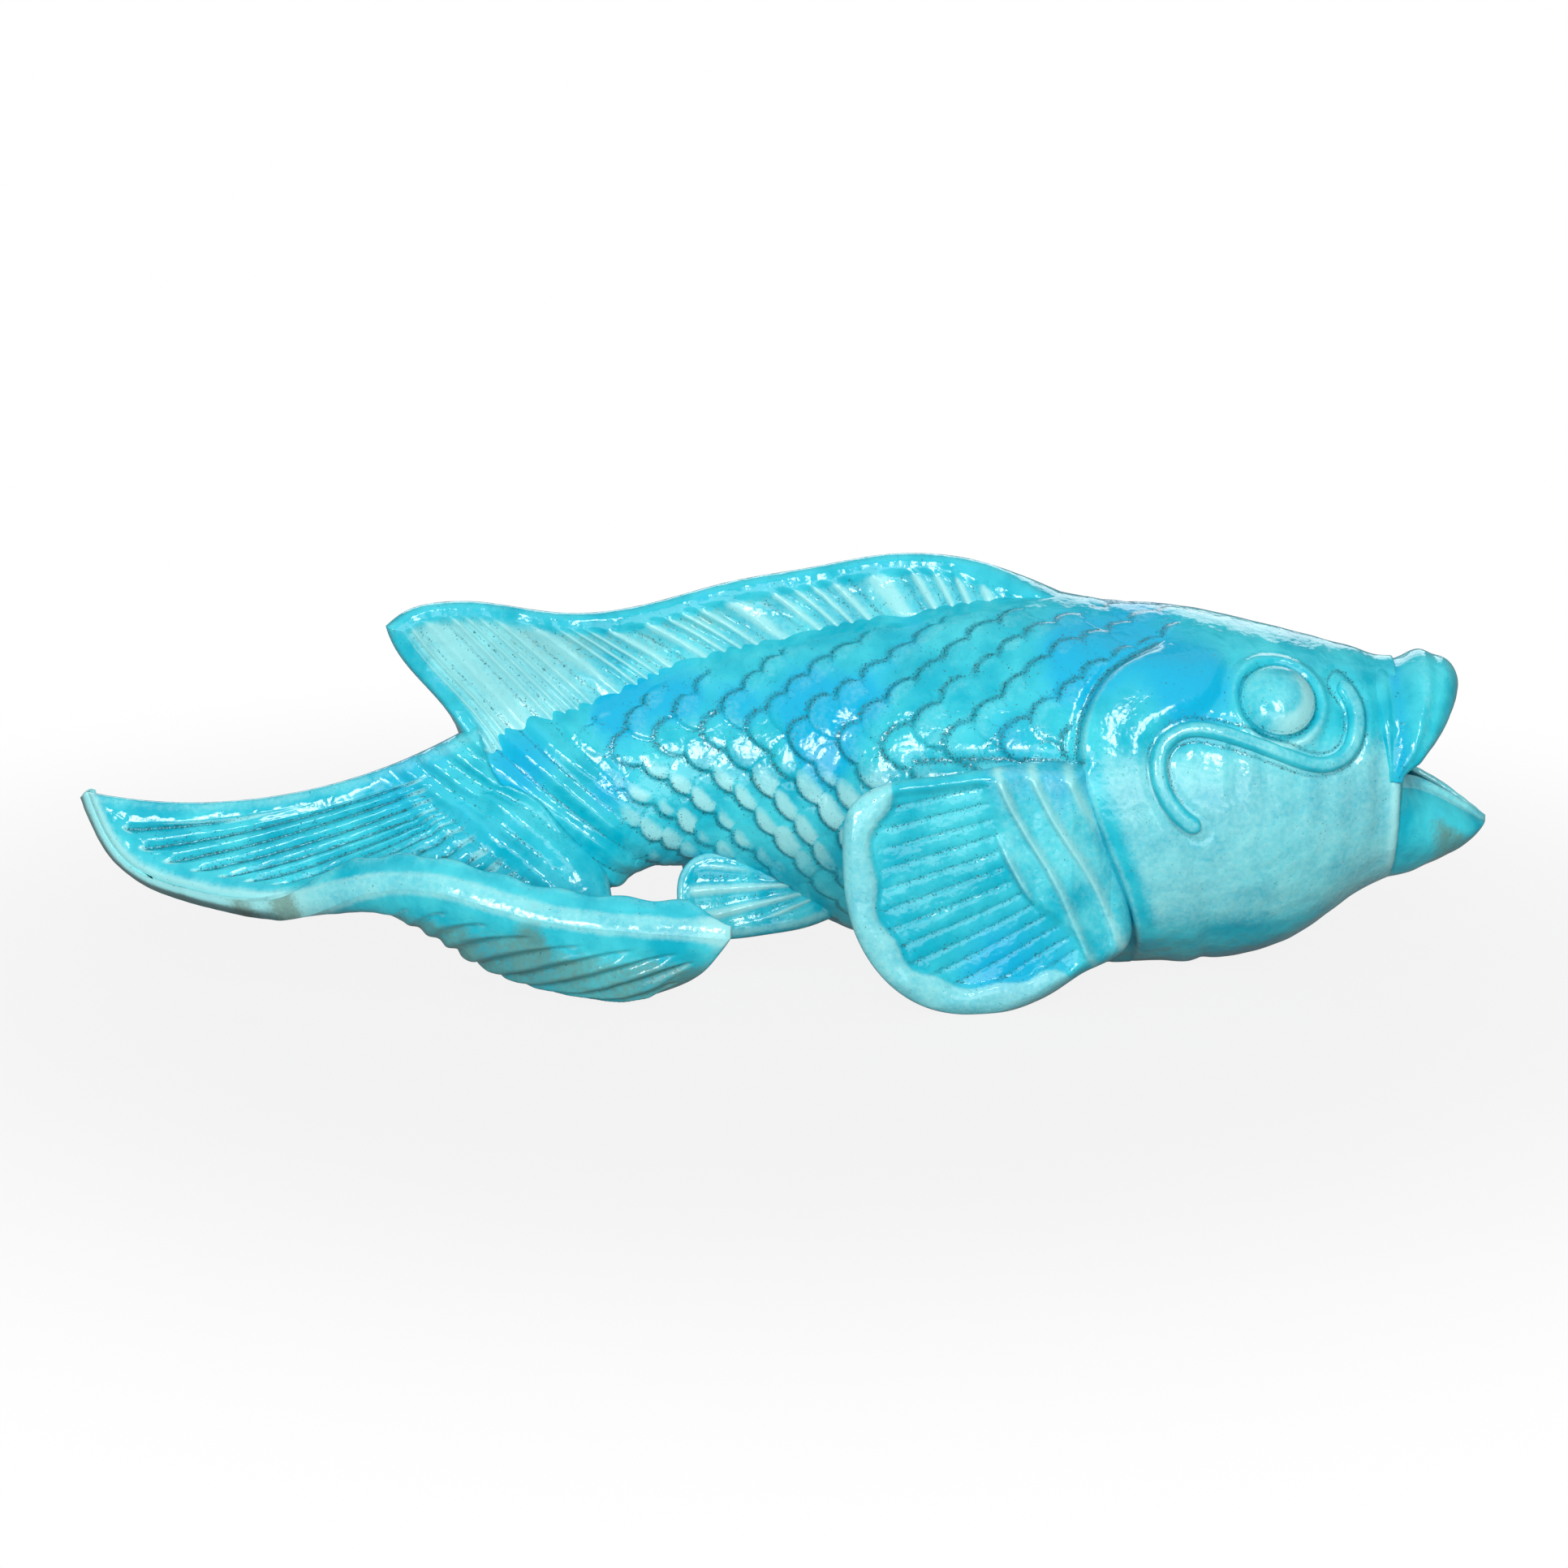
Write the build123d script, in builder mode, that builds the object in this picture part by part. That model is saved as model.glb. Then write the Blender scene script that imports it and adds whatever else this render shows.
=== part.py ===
from build123d import *

import math
import os

# Glazed ceramic carp: two press-moulded body halves closed along the back and belly, with the lips,
# eyes, whiskers and every fin formed on their own and luted into shallow seats in the wall.
# +X runs from the tail to the mouth, +Z is up, and the fish rests on the plane Z = 0.

# Overall sizes, in millimetres. Every place on the fish is a share of these three.
fish_length = 330.0
fish_width = 80.0
fish_height = 90.0

# Walls and seats of the hollow body, and how many of its stations the hollow takes in.
wall = 5.5
seat_depth = 2.0
hollow_stations = 10
overrun = 4.0

# Carved and applied relief on the head.
whisker_width = 4.4
whisker_rise = 1.8
gill_groove_width = 2.4
eye_radius = 8.6
eye_rise = 3.6
pupil_radius = 5.2
pupil_rise = 1.0
eye_round = 2.6
pupil_round = 0.9
eye_seat_depth = 3.2

# Mouth.
lip_thickness = 4.6
jaw_thickness = 4.8

# Fins.
dorsal_base_thickness = 10.0
dorsal_crest_thickness = 4.2
tail_thickness = 6.4
tail_rib_rise = 1.1
tail_root_reach = 12.0
pectoral_thickness = 6.2
pectoral_recess = 1.3
pelvic_thickness = 5.4

# Body stations from the mouth end to the tail root: shares of length, width and height for the centre,
# then the turns of the section about Z, across and along the fish in degrees, then its half height as a
# share of height and its half width as a share of width.
station_shares = [
    (0.433, 0.000, 0.517, 0.0, 0.0, 0.0, 0.300, 0.245),
    (0.412, 0.000, 0.505, 0.0, 0.0, 0.0, 0.327, 0.282),
    (0.376, 0.000, 0.474, 0.0, 0.0, 0.0, 0.391, 0.350),
    (0.327, 0.010, 0.461, 0.0, 0.0, 0.0, 0.450, 0.425),
    (0.267, 0.038, 0.467, 0.0, 0.0, 0.0, 0.489, 0.488),
    (0.194, 0.075, 0.483, 0.0, 0.0, 0.0, 0.506, 0.500),
    (0.121, 0.112, 0.472, 0.0, 0.0, 0.0, 0.483, 0.469),
    (0.048, 0.137, 0.478, 0.0, 0.0, 0.0, 0.428, 0.400),
    (-0.015, 0.125, 0.506, 8.0, 2.0, 4.0, 0.344, 0.312),
    (-0.076, 0.088, 0.506, 18.0, 6.0, 10.0, 0.283, 0.231),
    (-0.132, 0.012, 0.450, 30.0, 15.0, 20.0, 0.257, 0.169),
    (-0.188, -0.125, 0.383, 45.0, 28.0, 34.0, 0.292, 0.105),
]

# Right half of a body section, as two curves that meet at the widest level: control points from the back
# to there and from there to the belly, in shares of half width and half height.
back_curve_shares = [(0.00, 1.00), (0.52, 1.00), (1.00, 0.52), (1.00, -0.06)]
belly_curve_shares = [(1.00, -0.06), (1.00, -0.60), (0.56, -1.00), (0.00, -1.00)]

# Side outline of the dorsal fin: the crest from its front end to the rear tip, then down to the root.
dorsal_crest_shares = [
    (0.215, 0.955),
    (0.170, 1.022),
    (0.135, 1.062),
    (0.105, 1.072),
    (0.077, 1.068),
    (0.020, 1.026),
    (-0.038, 0.984),
    (-0.096, 0.934),
    (-0.154, 0.924),
    (-0.188, 0.948),
    (-0.212, 0.965),
    (-0.243, 0.960),
    (-0.277, 0.917),
]
dorsal_rear_shares = [(-0.277, 0.885), (-0.262, 0.810), (-0.243, 0.715), (-0.232, 0.620)]
dorsal_root_shares = [(-0.205, 0.480), (0.020, 0.760), (0.215, 0.860)]
dorsal_path_shares = [
    (0.250, 0.050),
    (0.194, 0.075),
    (0.121, 0.112),
    (0.048, 0.137),
    (-0.015, 0.133),
    (-0.085, 0.118),
    (-0.158, 0.060),
    (-0.242, -0.050),
    (-0.300, -0.135),
]
dorsal_wedge_low_share = 0.40
dorsal_wedge_high_share = 1.15

# Tail rays from the upper leading edge round to the lower one: root, control and edge point of each.
tail_ray_shares = [
    ((-0.220, -0.049, 0.560), (-0.358, -0.062, 0.335), (-0.494, -0.012, 0.385)),
    ((-0.211, -0.056, 0.520), (-0.333, -0.100, 0.330), (-0.464, -0.112, 0.272)),
    ((-0.202, -0.065, 0.480), (-0.303, -0.162, 0.294), (-0.412, -0.212, 0.222)),
    ((-0.192, -0.073, 0.452), (-0.267, -0.225, 0.272), (-0.354, -0.312, 0.217)),
    ((-0.180, -0.081, 0.404), (-0.240, -0.380, 0.130), (-0.297, -0.400, 0.248)),
    ((-0.168, -0.090, 0.357), (-0.212, -0.455, -0.010), (-0.236, -0.481, 0.264)),
    ((-0.156, -0.098, 0.309), (-0.167, -0.510, -0.140), (-0.173, -0.538, 0.246)),
    ((-0.144, -0.106, 0.261), (-0.109, -0.550, -0.190), (-0.100, -0.575, 0.251)),
    ((-0.132, -0.114, 0.213), (-0.100, -0.488, -0.080), (-0.036, -0.550, 0.207)),
]

# Steps along each tail ray, and the steps that its raised rib runs between.
tail_ray_steps = 6
tail_rib_start = 1
tail_rib_end = 5
sheet_tolerance = 0.2
sheet_degree = 3

# Width of the space kept clear for the body's end at the tail root, in tail thicknesses.
tail_seat_share = 4.0

# Pectoral fin: its side outline, then its path in plan with its half thickness along it, from the root.
pectoral_outline_shares = [
    (0.212, 0.600),
    (0.158, 0.622),
    (0.102, 0.607),
    (0.066, 0.591),
    (0.046, 0.545),
    (0.040, 0.418),
    (0.043, 0.290),
    (0.057, 0.149),
    (0.078, 0.055),
    (0.103, 0.008),
    (0.131, -0.010),
    (0.159, -0.004),
    (0.192, 0.030),
    (0.209, 0.100),
    (0.214, 0.350),
]
pectoral_path_shares = [
    (0.230, -0.375, 0.95),
    (0.203, -0.413, 1.35),
    (0.176, -0.450, 1.20),
    (0.152, -0.510, 0.70),
    (0.127, -0.545, 0.52),
    (0.085, -0.580, 0.50),
    (0.048, -0.610, 0.45),
]
pectoral_plan_share = 0.333
pectoral_lean = 5.7

# Sunken ray field on the outer face of the pectoral fin.
pectoral_field_shares = [
    (0.146, 0.520),
    (0.105, 0.520),
    (0.078, 0.500),
    (0.067, 0.430),
    (0.068, 0.300),
    (0.085, 0.170),
    (0.112, 0.100),
    (0.138, 0.110),
    (0.148, 0.220),
]

# Pelvic fin: the same two outlines.
pelvic_outline_shares = [
    (0.034, 0.112),
    (0.038, 0.190),
    (0.006, 0.250),
    (-0.030, 0.290),
    (-0.055, 0.298),
    (-0.072, 0.260),
    (-0.076, 0.180),
    (-0.068, 0.102),
    (-0.046, 0.078),
    (-0.010, 0.082),
    (0.018, 0.094),
]
pelvic_path_shares = [
    (0.046, -0.010, 0.70),
    (0.015, -0.040, 0.60),
    (-0.024, -0.080, 0.52),
    (-0.073, -0.131, 0.45),
]
pelvic_plan_share = 0.155
pelvic_lean = 20.0

# The two fins of a pair are mirrored about this share of the width.
pair_middle_share = 0.094

# Places on the head, in side view: shares of length and height.
whisker_path_shares = [
    (0.389, 0.778),
    (0.398, 0.731),
    (0.399, 0.666),
    (0.391, 0.611),
    (0.375, 0.592),
    (0.353, 0.614),
    (0.327, 0.653),
    (0.301, 0.686),
    (0.278, 0.693),
    (0.262, 0.660),
    (0.258, 0.600),
    (0.263, 0.537),
    (0.273, 0.486),
    (0.287, 0.447),
]
gill_path_shares = [
    (0.262, 0.891),
    (0.239, 0.854),
    (0.222, 0.810),
    (0.211, 0.752),
    (0.205, 0.681),
    (0.204, 0.608),
    (0.212, 0.502),
    (0.224, 0.390),
    (0.237, 0.274),
    (0.245, 0.166),
]
eye_share = (0.344, -0.262, 0.752)
eye_turn = 10.0
eye_tilt = 36.0
head_middle_share = 0.008

# Mouth: place along the fish, height of the open side and of the crown, and half width of each section.
upper_lip_shares = [
    (0.433, 0.548, 0.817, 0.245),
    (0.446, 0.565, 0.830, 0.235),
    (0.462, 0.640, 0.826, 0.215),
    (0.479, 0.700, 0.775, 0.165),
]
lower_jaw_shares = [
    (0.433, 0.540, 0.217, 0.245),
    (0.455, 0.508, 0.245, 0.205),
    (0.478, 0.462, 0.285, 0.150),
    (0.498, 0.415, 0.335, 0.075),
    (0.5036, 0.400, 0.372, 0.030),
]
jaw_scoop_rows = 3
mouth_rise_share = 0.62
mouth_round_share = 0.56


def place(share):
    """A point of the fish from its shares of length, width and height."""
    along, across, up = share
    return Vector(along * fish_length, across * fish_width, up * fish_height)


def in_plane(shares, second):
    """Flat points from pairs of shares: of the length, and of the second size."""
    return [(along * fish_length, other * second) for along, other in shares]


def band(path, half_widths):
    """Closed run of points at the half widths on both sides of a path, rounded past its two ends."""
    left, right = [], []
    for index, ((x, y), half_width) in enumerate(zip(path, half_widths)):
        before = path[max(index - 1, 0)]
        after = path[min(index + 1, len(path) - 1)]
        run = math.dist(before, after)
        across = (half_width * (before[1] - after[1]) / run, half_width * (after[0] - before[0]) / run)
        left.append((x + across[0], y + across[1]))
        right.append((x - across[0], y - across[1]))
    first, last = (
        tuple(end[i] + half_width * (end[i] - inner[i]) / math.dist(end, inner) for i in (0, 1))
        for end, inner, half_width in (
            (path[0], path[1], half_widths[0]),
            (path[-1], path[-2], half_widths[-1]),
        )
    )
    return [first, *left, last, *reversed(right)]


def station_plane(station):
    """Section plane of a body station: local X to the fish's right, local Y to its back."""
    yaw, pitch, roll = (math.radians(angle) for angle in station[3:6])
    forward = Vector(math.cos(pitch) * math.cos(yaw), math.cos(pitch) * math.sin(yaw), math.sin(pitch))
    right = Vector(math.sin(yaw), -math.cos(yaw), 0)
    leaned = right * math.cos(roll) + right.cross(forward) * math.sin(roll)
    return Plane(origin=place(station[:3]), x_dir=leaned, z_dir=-forward)


def section_curves(station, inset, side):
    """Control points of one side of a body section from back to belly, set in from the skin."""
    half_height = station[6] * fish_height - inset
    half_width = station[7] * fish_width - inset
    return [
        [(side * out * half_width, up * half_height) for out, up in shares]
        for shares in (back_curve_shares, belly_curve_shares)
    ]


def body_form(inset, stations):
    """Solid lofted through body stations, with its surface set in by the inset."""
    with BuildPart() as form:
        for station in stations:
            right_back, right_belly = section_curves(station, inset, 1)
            left_back, left_belly = section_curves(station, inset, -1)
            with BuildSketch(station_plane(station)):
                with BuildLine():
                    Bezier(*right_back)
                    Bezier(*right_belly)
                    Bezier(*reversed(left_belly))
                    Bezier(*reversed(left_back))
                make_face()
        loft()
    return form.part


def right_region():
    """Space to the right of the middle of the body, past its back, its belly and both its ends."""
    planes = [station_plane(station) for station in station_shares]
    planes = [planes[0].offset(-overrun), *planes, planes[-1].offset(overrun)]
    with BuildPart() as region:
        for plane, station in zip(planes, [station_shares[0], *station_shares, station_shares[-1]]):
            reach = station[7] * fish_width + overrun
            with BuildSketch(plane):
                with Locations((reach / 2, 0)):
                    Rectangle(reach, (station[6] * fish_height + overrun) * 2)
        loft()
    return region.part


def side_band(path_shares, width, side):
    """Prism out of one side of the fish through a band along a side-view path."""
    with BuildPart() as prism:
        with BuildSketch(Plane.XZ):
            with BuildLine():
                path = in_plane(path_shares, fish_height)
                Spline(*band(path, [width / 2] * len(path)), periodic=True)
            make_face()
        extrude(amount=side * fish_width)
    return prism.part


def plan_plane(plan_share, lean):
    """Level plane that a fin of a pair is carried across, with its up direction leaned outward."""
    lean_way = Vector(0, math.sin(math.radians(lean)), math.cos(math.radians(lean)))
    return Plane(origin=place((0, 0, plan_share)), x_dir=(1, 0, 0), z_dir=lean_way)


def paired_fin(outline_shares, path_shares, thickness, plan_share, lean):
    """Right fin of a pair: its side outline carried across its plan, leaned out toward the ground."""
    path = in_plane([row[:2] for row in path_shares], fish_width)
    half_widths = [thickness * row[2] for row in path_shares]
    with BuildPart() as fin:
        with BuildSketch(plan_plane(plan_share, lean)):
            with BuildLine():
                Spline(*band(path, half_widths), periodic=True)
            make_face()
        extrude(amount=fish_height, both=True)
        with BuildSketch(Plane.XZ):
            with BuildLine():
                Spline(*in_plane(outline_shares, fish_height), periodic=True)
            make_face()
        extrude(amount=fish_width, both=True, mode=Mode.INTERSECT)
        split(bisect_by=Plane.XY, keep=Keep.TOP)
    return fin.part


def field_cut():
    """Space that sinks the ray field into the outer face of the right pectoral fin."""
    sunk_path = [
        (along * fish_length, across * fish_width - pectoral_thickness * thick + pectoral_recess)
        for along, across, thick in pectoral_path_shares
    ]
    with BuildPart() as cut:
        with BuildSketch(plan_plane(pectoral_plan_share, pectoral_lean)):
            with BuildLine():
                Spline(*sunk_path)
                Polyline(
                    sunk_path[-1],
                    (sunk_path[-1][0], -fish_width),
                    (sunk_path[0][0], -fish_width),
                    sunk_path[0],
                )
            make_face()
        extrude(amount=fish_height, both=True)
        with BuildSketch(Plane.XZ):
            with BuildLine():
                Spline(*in_plane(pectoral_field_shares, fish_height), periodic=True)
            make_face()
        extrude(amount=fish_width, both=True, mode=Mode.INTERSECT)
    return cut.part


def mirror_plane(middle_share):
    """Upright plane along the fish at a share of the width."""
    return Plane(origin=place((0, middle_share, 0)), z_dir=(0, 1, 0))


def mouth_form(section_rows, inset, way):
    """Half tube of the mouth: way 1 arches up for the upper lip, way -1 hangs down for the lower jaw."""
    with BuildPart() as form:
        for along, open_share, crown_share, half_share in section_rows:
            half = half_share * fish_width - inset
            foot = open_share * fish_height - (way * overrun if inset else 0)
            crown = crown_share * fish_height - way * inset
            rise = foot + (crown - foot) * mouth_rise_share
            with BuildSketch(Plane(origin=(along * fish_length, 0, 0), x_dir=(0, -1, 0), z_dir=(-1, 0, 0))):
                with BuildLine():
                    Bezier((half, foot), (half, rise), (half * mouth_round_share, crown), (0, crown))
                    Bezier((0, crown), (-half * mouth_round_share, crown), (-half, rise), (-half, foot))
                    Line((-half, foot), (half, foot))
                make_face()
        loft()
    return form.part


def eye_form():
    """Eye button with a raised pupil, standing off the right side of the head."""
    turn, tilt = math.radians(eye_turn), math.radians(eye_tilt)
    facing = Vector(math.cos(tilt) * math.sin(turn), -math.cos(tilt) * math.cos(turn), math.sin(tilt))
    eye_plane = Plane(origin=place(eye_share), z_dir=facing)
    with BuildPart() as form:
        with BuildSketch(eye_plane):
            Circle(eye_radius)
        extrude(amount=eye_rise)
        fillet(form.edges().sort_by(Axis(eye_plane.origin, facing))[-1], radius=eye_round)
        with BuildSketch(eye_plane.offset(eye_rise)):
            Circle(pupil_radius)
        extrude(amount=pupil_rise)
        fillet(form.edges().sort_by(Axis(eye_plane.origin, facing))[-1], radius=pupil_round)
        with BuildSketch(eye_plane):
            Circle(eye_radius)
        extrude(amount=-eye_seat_depth)
    return form.part


def tail_ray(shares):
    """Points along a tail ray, on the curve from its root to its edge."""
    root, bend, edge = (place(share) for share in shares)
    steps = [step / tail_ray_steps for step in range(tail_ray_steps + 1)]
    return [root * (1 - t) ** 2 + bend * 2 * t * (1 - t) + edge * t**2 for t in steps]


def tail_form():
    """Curved sheet through the tail rays with a round rib along each inner ray, cut flat where it rests."""
    sheet = Face.make_surface_from_array_of_points(
        [tail_ray(shares) for shares in tail_ray_shares],
        tol=sheet_tolerance,
        min_deg=sheet_degree,
        max_deg=sheet_degree,
    )
    with BuildPart() as form:
        thicken(sheet, amount=tail_thickness / 2, both=True)
        for shares in tail_ray_shares[1:-1]:
            rib = tail_ray(shares)[tail_rib_start : tail_rib_end + 1]
            with BuildLine() as spine:
                Spline(*rib)
            with BuildSketch(Plane(origin=rib[0], z_dir=spine.line % 0)):
                Circle(tail_thickness / 2 + tail_rib_rise)
            sweep(path=spine.line)
        split(bisect_by=Plane.XY, keep=Keep.TOP)
    return form.part


# Skins that the pieces are cut between: the clay surface, the bottom of the seats and the top of the
# relief. The hollow stops short of the tail root.
skin = body_form(0, station_shares)
core = body_form(seat_depth, station_shares)
relief_skin = body_form(-whisker_rise, station_shares)
hollow = body_form(wall, station_shares[:hollow_stations])

# Applied forms of the right side, and their mirror images on the left.
eye = eye_form()
pectoral = paired_fin(
    pectoral_outline_shares, pectoral_path_shares, pectoral_thickness, pectoral_plan_share, pectoral_lean
)
sunken_field = field_cut()
pelvic = paired_fin(
    pelvic_outline_shares, pelvic_path_shares, pelvic_thickness, pelvic_plan_share, pelvic_lean
)

with BuildPart() as eye_right:
    add(eye)

with BuildPart() as eye_left:
    mirror(eye, about=mirror_plane(head_middle_share))

with BuildPart() as whisker_right:
    add(side_band(whisker_path_shares, whisker_width, 1))
    add(relief_skin, mode=Mode.INTERSECT)
    add(core, mode=Mode.SUBTRACT)

with BuildPart() as whisker_left:
    add(side_band(whisker_path_shares, whisker_width, -1))
    add(relief_skin, mode=Mode.INTERSECT)
    add(core, mode=Mode.SUBTRACT)

with BuildPart() as pectoral_fin_right:
    add(pectoral)
    add(sunken_field, mode=Mode.SUBTRACT)
    add(core, mode=Mode.SUBTRACT)

with BuildPart() as pectoral_fin_left:
    mirror(pectoral, about=mirror_plane(pair_middle_share))
    mirror(sunken_field, about=mirror_plane(pair_middle_share), mode=Mode.SUBTRACT)
    add(core, mode=Mode.SUBTRACT)

with BuildPart() as pelvic_fin_right:
    add(pelvic)
    add(core, mode=Mode.SUBTRACT)

with BuildPart() as pelvic_fin_left:
    mirror(pelvic, about=mirror_plane(pair_middle_share))
    add(core, mode=Mode.SUBTRACT)

# Grooves along the free edges of the gill covers, as deep as the seats.
with BuildPart() as gill_grooves:
    add(side_band(gill_path_shares, gill_groove_width, 1))
    add(side_band(gill_path_shares, gill_groove_width, -1))
    add(core, mode=Mode.SUBTRACT)

# Tail fin, butted on the flat end of the body.
with BuildPart() as tail_fin:
    add(tail_form())
    with BuildSketch(station_plane(station_shares[-1])):
        Rectangle(tail_thickness * tail_seat_share, fish_height)
    extrude(amount=-tail_root_reach, mode=Mode.SUBTRACT)

# Dorsal fin: an upright wall along the back, thinner toward its crest, cut to its side outline.
with BuildPart() as dorsal_fin:
    dorsal_path = in_plane(dorsal_path_shares, fish_width)
    for height_share, thickness in (
        (dorsal_wedge_low_share, dorsal_base_thickness),
        (dorsal_wedge_high_share, dorsal_crest_thickness),
    ):
        with BuildSketch(Plane.XY.offset(height_share * fish_height)):
            with BuildLine():
                Spline(*band(dorsal_path, [thickness / 2] * len(dorsal_path)), periodic=True)
            make_face()
    loft(ruled=True)
    with BuildSketch(Plane.XZ):
        with BuildLine():
            Spline(*in_plane(dorsal_crest_shares, fish_height))
            Polyline(
                *in_plane([dorsal_crest_shares[-1], *dorsal_rear_shares], fish_height),
                *in_plane([*dorsal_root_shares, dorsal_crest_shares[0]], fish_height),
            )
        make_face()
    extrude(amount=fish_width, both=True, mode=Mode.INTERSECT)
    add(core, mode=Mode.SUBTRACT)
    add(tail_fin.part, mode=Mode.SUBTRACT)

# Lips of the open mouth, butted on the front of the body.
with BuildPart() as upper_lip:
    add(mouth_form(upper_lip_shares, 0, 1))
    add(mouth_form(upper_lip_shares, lip_thickness, 1), mode=Mode.SUBTRACT)

with BuildPart() as lower_jaw:
    add(mouth_form(lower_jaw_shares, 0, -1))
    add(mouth_form(lower_jaw_shares[:jaw_scoop_rows], jaw_thickness, -1), mode=Mode.SUBTRACT)

# Body: hollow, cut flat where the belly rests, with a gill groove on each side and a seat under every
# piece luted on. It is pressed in two halves that meet along the middle of the back and belly.
with BuildPart() as body:
    add(skin)
    split(bisect_by=Plane.XY, keep=Keep.TOP)
    add(hollow, mode=Mode.SUBTRACT)
    for piece in (
        eye_right,
        eye_left,
        whisker_right,
        whisker_left,
        pectoral_fin_right,
        pectoral_fin_left,
        pelvic_fin_right,
        pelvic_fin_left,
        dorsal_fin,
        gill_grooves,
    ):
        add(piece.part, mode=Mode.SUBTRACT)

middle_cut = right_region()

with BuildPart() as body_right_half:
    add(body.part)
    add(middle_cut, mode=Mode.INTERSECT)

with BuildPart() as body_left_half:
    add(body.part)
    add(middle_cut, mode=Mode.SUBTRACT)

pieces = {
    "body_right_half": body_right_half,
    "body_left_half": body_left_half,
    "upper_lip": upper_lip,
    "lower_jaw": lower_jaw,
    "eye_right": eye_right,
    "eye_left": eye_left,
    "whisker_right": whisker_right,
    "whisker_left": whisker_left,
    "dorsal_fin": dorsal_fin,
    "tail_fin": tail_fin,
    "pectoral_fin_right": pectoral_fin_right,
    "pectoral_fin_left": pectoral_fin_left,
    "pelvic_fin_right": pelvic_fin_right,
    "pelvic_fin_left": pelvic_fin_left,
}

# The origin is on the ground, under the middle of the whole fish.
boxes = [piece.part.bounding_box() for piece in pieces.values()]
middle_x = (min(box.min.X for box in boxes) + max(box.max.X for box in boxes)) / 2
middle_y = (min(box.min.Y for box in boxes) + max(box.max.Y for box in boxes)) / 2

os.makedirs("parts", exist_ok=True)
for name, piece in pieces.items():
    with BuildPart() as placed:
        with Locations((-middle_x, -middle_y, 0)):
            add(piece.part)
    placed.part.label = name
    export_step(placed.part, f"parts/{name}.step")
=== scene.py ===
"""Glazed ceramic carp on a pale floor: body, lips, eyes, whiskers and fins under one turquoise glaze.

Surfaces are worked out in millimetres in the fish's own frame (+X to the mouth, +Z up, the length
counted from the middle of the photographed fish) and moved onto the CAD frame when they are written.
"""
import math
from types import SimpleNamespace

import bpy
import numpy as np
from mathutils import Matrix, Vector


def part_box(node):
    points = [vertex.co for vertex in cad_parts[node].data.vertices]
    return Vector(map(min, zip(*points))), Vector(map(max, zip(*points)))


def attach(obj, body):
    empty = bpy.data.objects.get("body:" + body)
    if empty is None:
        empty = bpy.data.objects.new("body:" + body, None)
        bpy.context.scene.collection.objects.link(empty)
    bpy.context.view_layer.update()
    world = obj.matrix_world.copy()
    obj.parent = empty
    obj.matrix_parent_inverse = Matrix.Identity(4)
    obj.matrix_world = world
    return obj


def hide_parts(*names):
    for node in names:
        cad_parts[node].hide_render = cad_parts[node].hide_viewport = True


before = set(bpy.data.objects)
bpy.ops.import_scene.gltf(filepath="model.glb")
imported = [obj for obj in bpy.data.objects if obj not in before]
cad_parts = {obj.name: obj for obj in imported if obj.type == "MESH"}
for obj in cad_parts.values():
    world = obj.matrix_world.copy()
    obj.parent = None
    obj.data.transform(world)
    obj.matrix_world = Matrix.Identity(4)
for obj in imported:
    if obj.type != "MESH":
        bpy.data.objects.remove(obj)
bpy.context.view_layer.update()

MM = 0.001
RIGHT, LEFT = -1, 1
# Side of the square photograph and one millimetre of the fish in its pixels.
PHOTO, PER_MM = 1932, 5.2
# Angle of the camera above the side of the fish, its distance, and the height that it looks at.
RISE_DEGREES, CAMERA_FAR, CAMERA_AIM = 14.0, 900.0, 42.2
# Place of the body's mouth end along the fish, where the CAD lip begins.
MOUTH_END = 142.89

lip_low, lip_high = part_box("upper_lip")
SHIFT = np.array([lip_low[0] / MM - MOUTH_END, (lip_low[1] + lip_high[1]) / 2 / MM, 0.0])


# Numbers and curves

def smooth(value, low, high):
    """Smooth step from 0 at low to 1 at high."""
    t = np.clip((np.asarray(value, float) - low) / (high - low), 0.0, 1.0)
    return t * t * (3 - 2 * t)


def bump(value, middle, width):
    """Bell of height 1 round the middle."""
    return np.exp(-(((np.asarray(value, float) - middle) / width) ** 2))


def natural_spline(knots, values, at):
    """Values at the places `at` on the natural cubic spline through the knots."""
    knots, values, at = (np.asarray(a, float) for a in (knots, values, at))
    flat = values.reshape(len(knots), -1)
    step = np.diff(knots)
    system = np.eye(len(knots))
    right = np.zeros_like(flat)
    for i in range(1, len(knots) - 1):
        system[i, i - 1 : i + 2] = step[i - 1], 2 * (step[i - 1] + step[i]), step[i]
        right[i] = 6 * ((flat[i + 1] - flat[i]) / step[i] - (flat[i] - flat[i - 1]) / step[i - 1])
    bend = np.linalg.solve(system, right)
    i = np.clip(np.searchsorted(knots, at) - 1, 0, len(step) - 1)
    h, a, b = step[i][:, None], (knots[i + 1] - at)[:, None], (at - knots[i])[:, None]
    out = (bend[i] * a**3 + bend[i + 1] * b**3) / (6 * h)
    out += (flat[i] / h - bend[i] * h / 6) * a + (flat[i + 1] / h - bend[i + 1] * h / 6) * b
    return out.reshape((len(at),) + values.shape[1:])


def along(points):
    """Running length of a path of points."""
    steps = np.diff(np.asarray(points, float), axis=0)
    return np.concatenate([[0.0], np.cumsum(np.linalg.norm(steps, axis=1))])


def path_through(points, count):
    """Evenly spaced points on the spline through a few points."""
    run = along(points)
    fine = natural_spline(run, points, np.linspace(0, run[-1], count * 4))
    length = along(fine)
    places = np.linspace(0, length[-1], count)
    return np.stack([np.interp(places, length, fine[:, k]) for k in range(3)], axis=1)


def unit(vectors):
    """Vectors at length 1."""
    return vectors / np.maximum(np.linalg.norm(vectors, axis=-1, keepdims=True), 1e-9)


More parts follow.
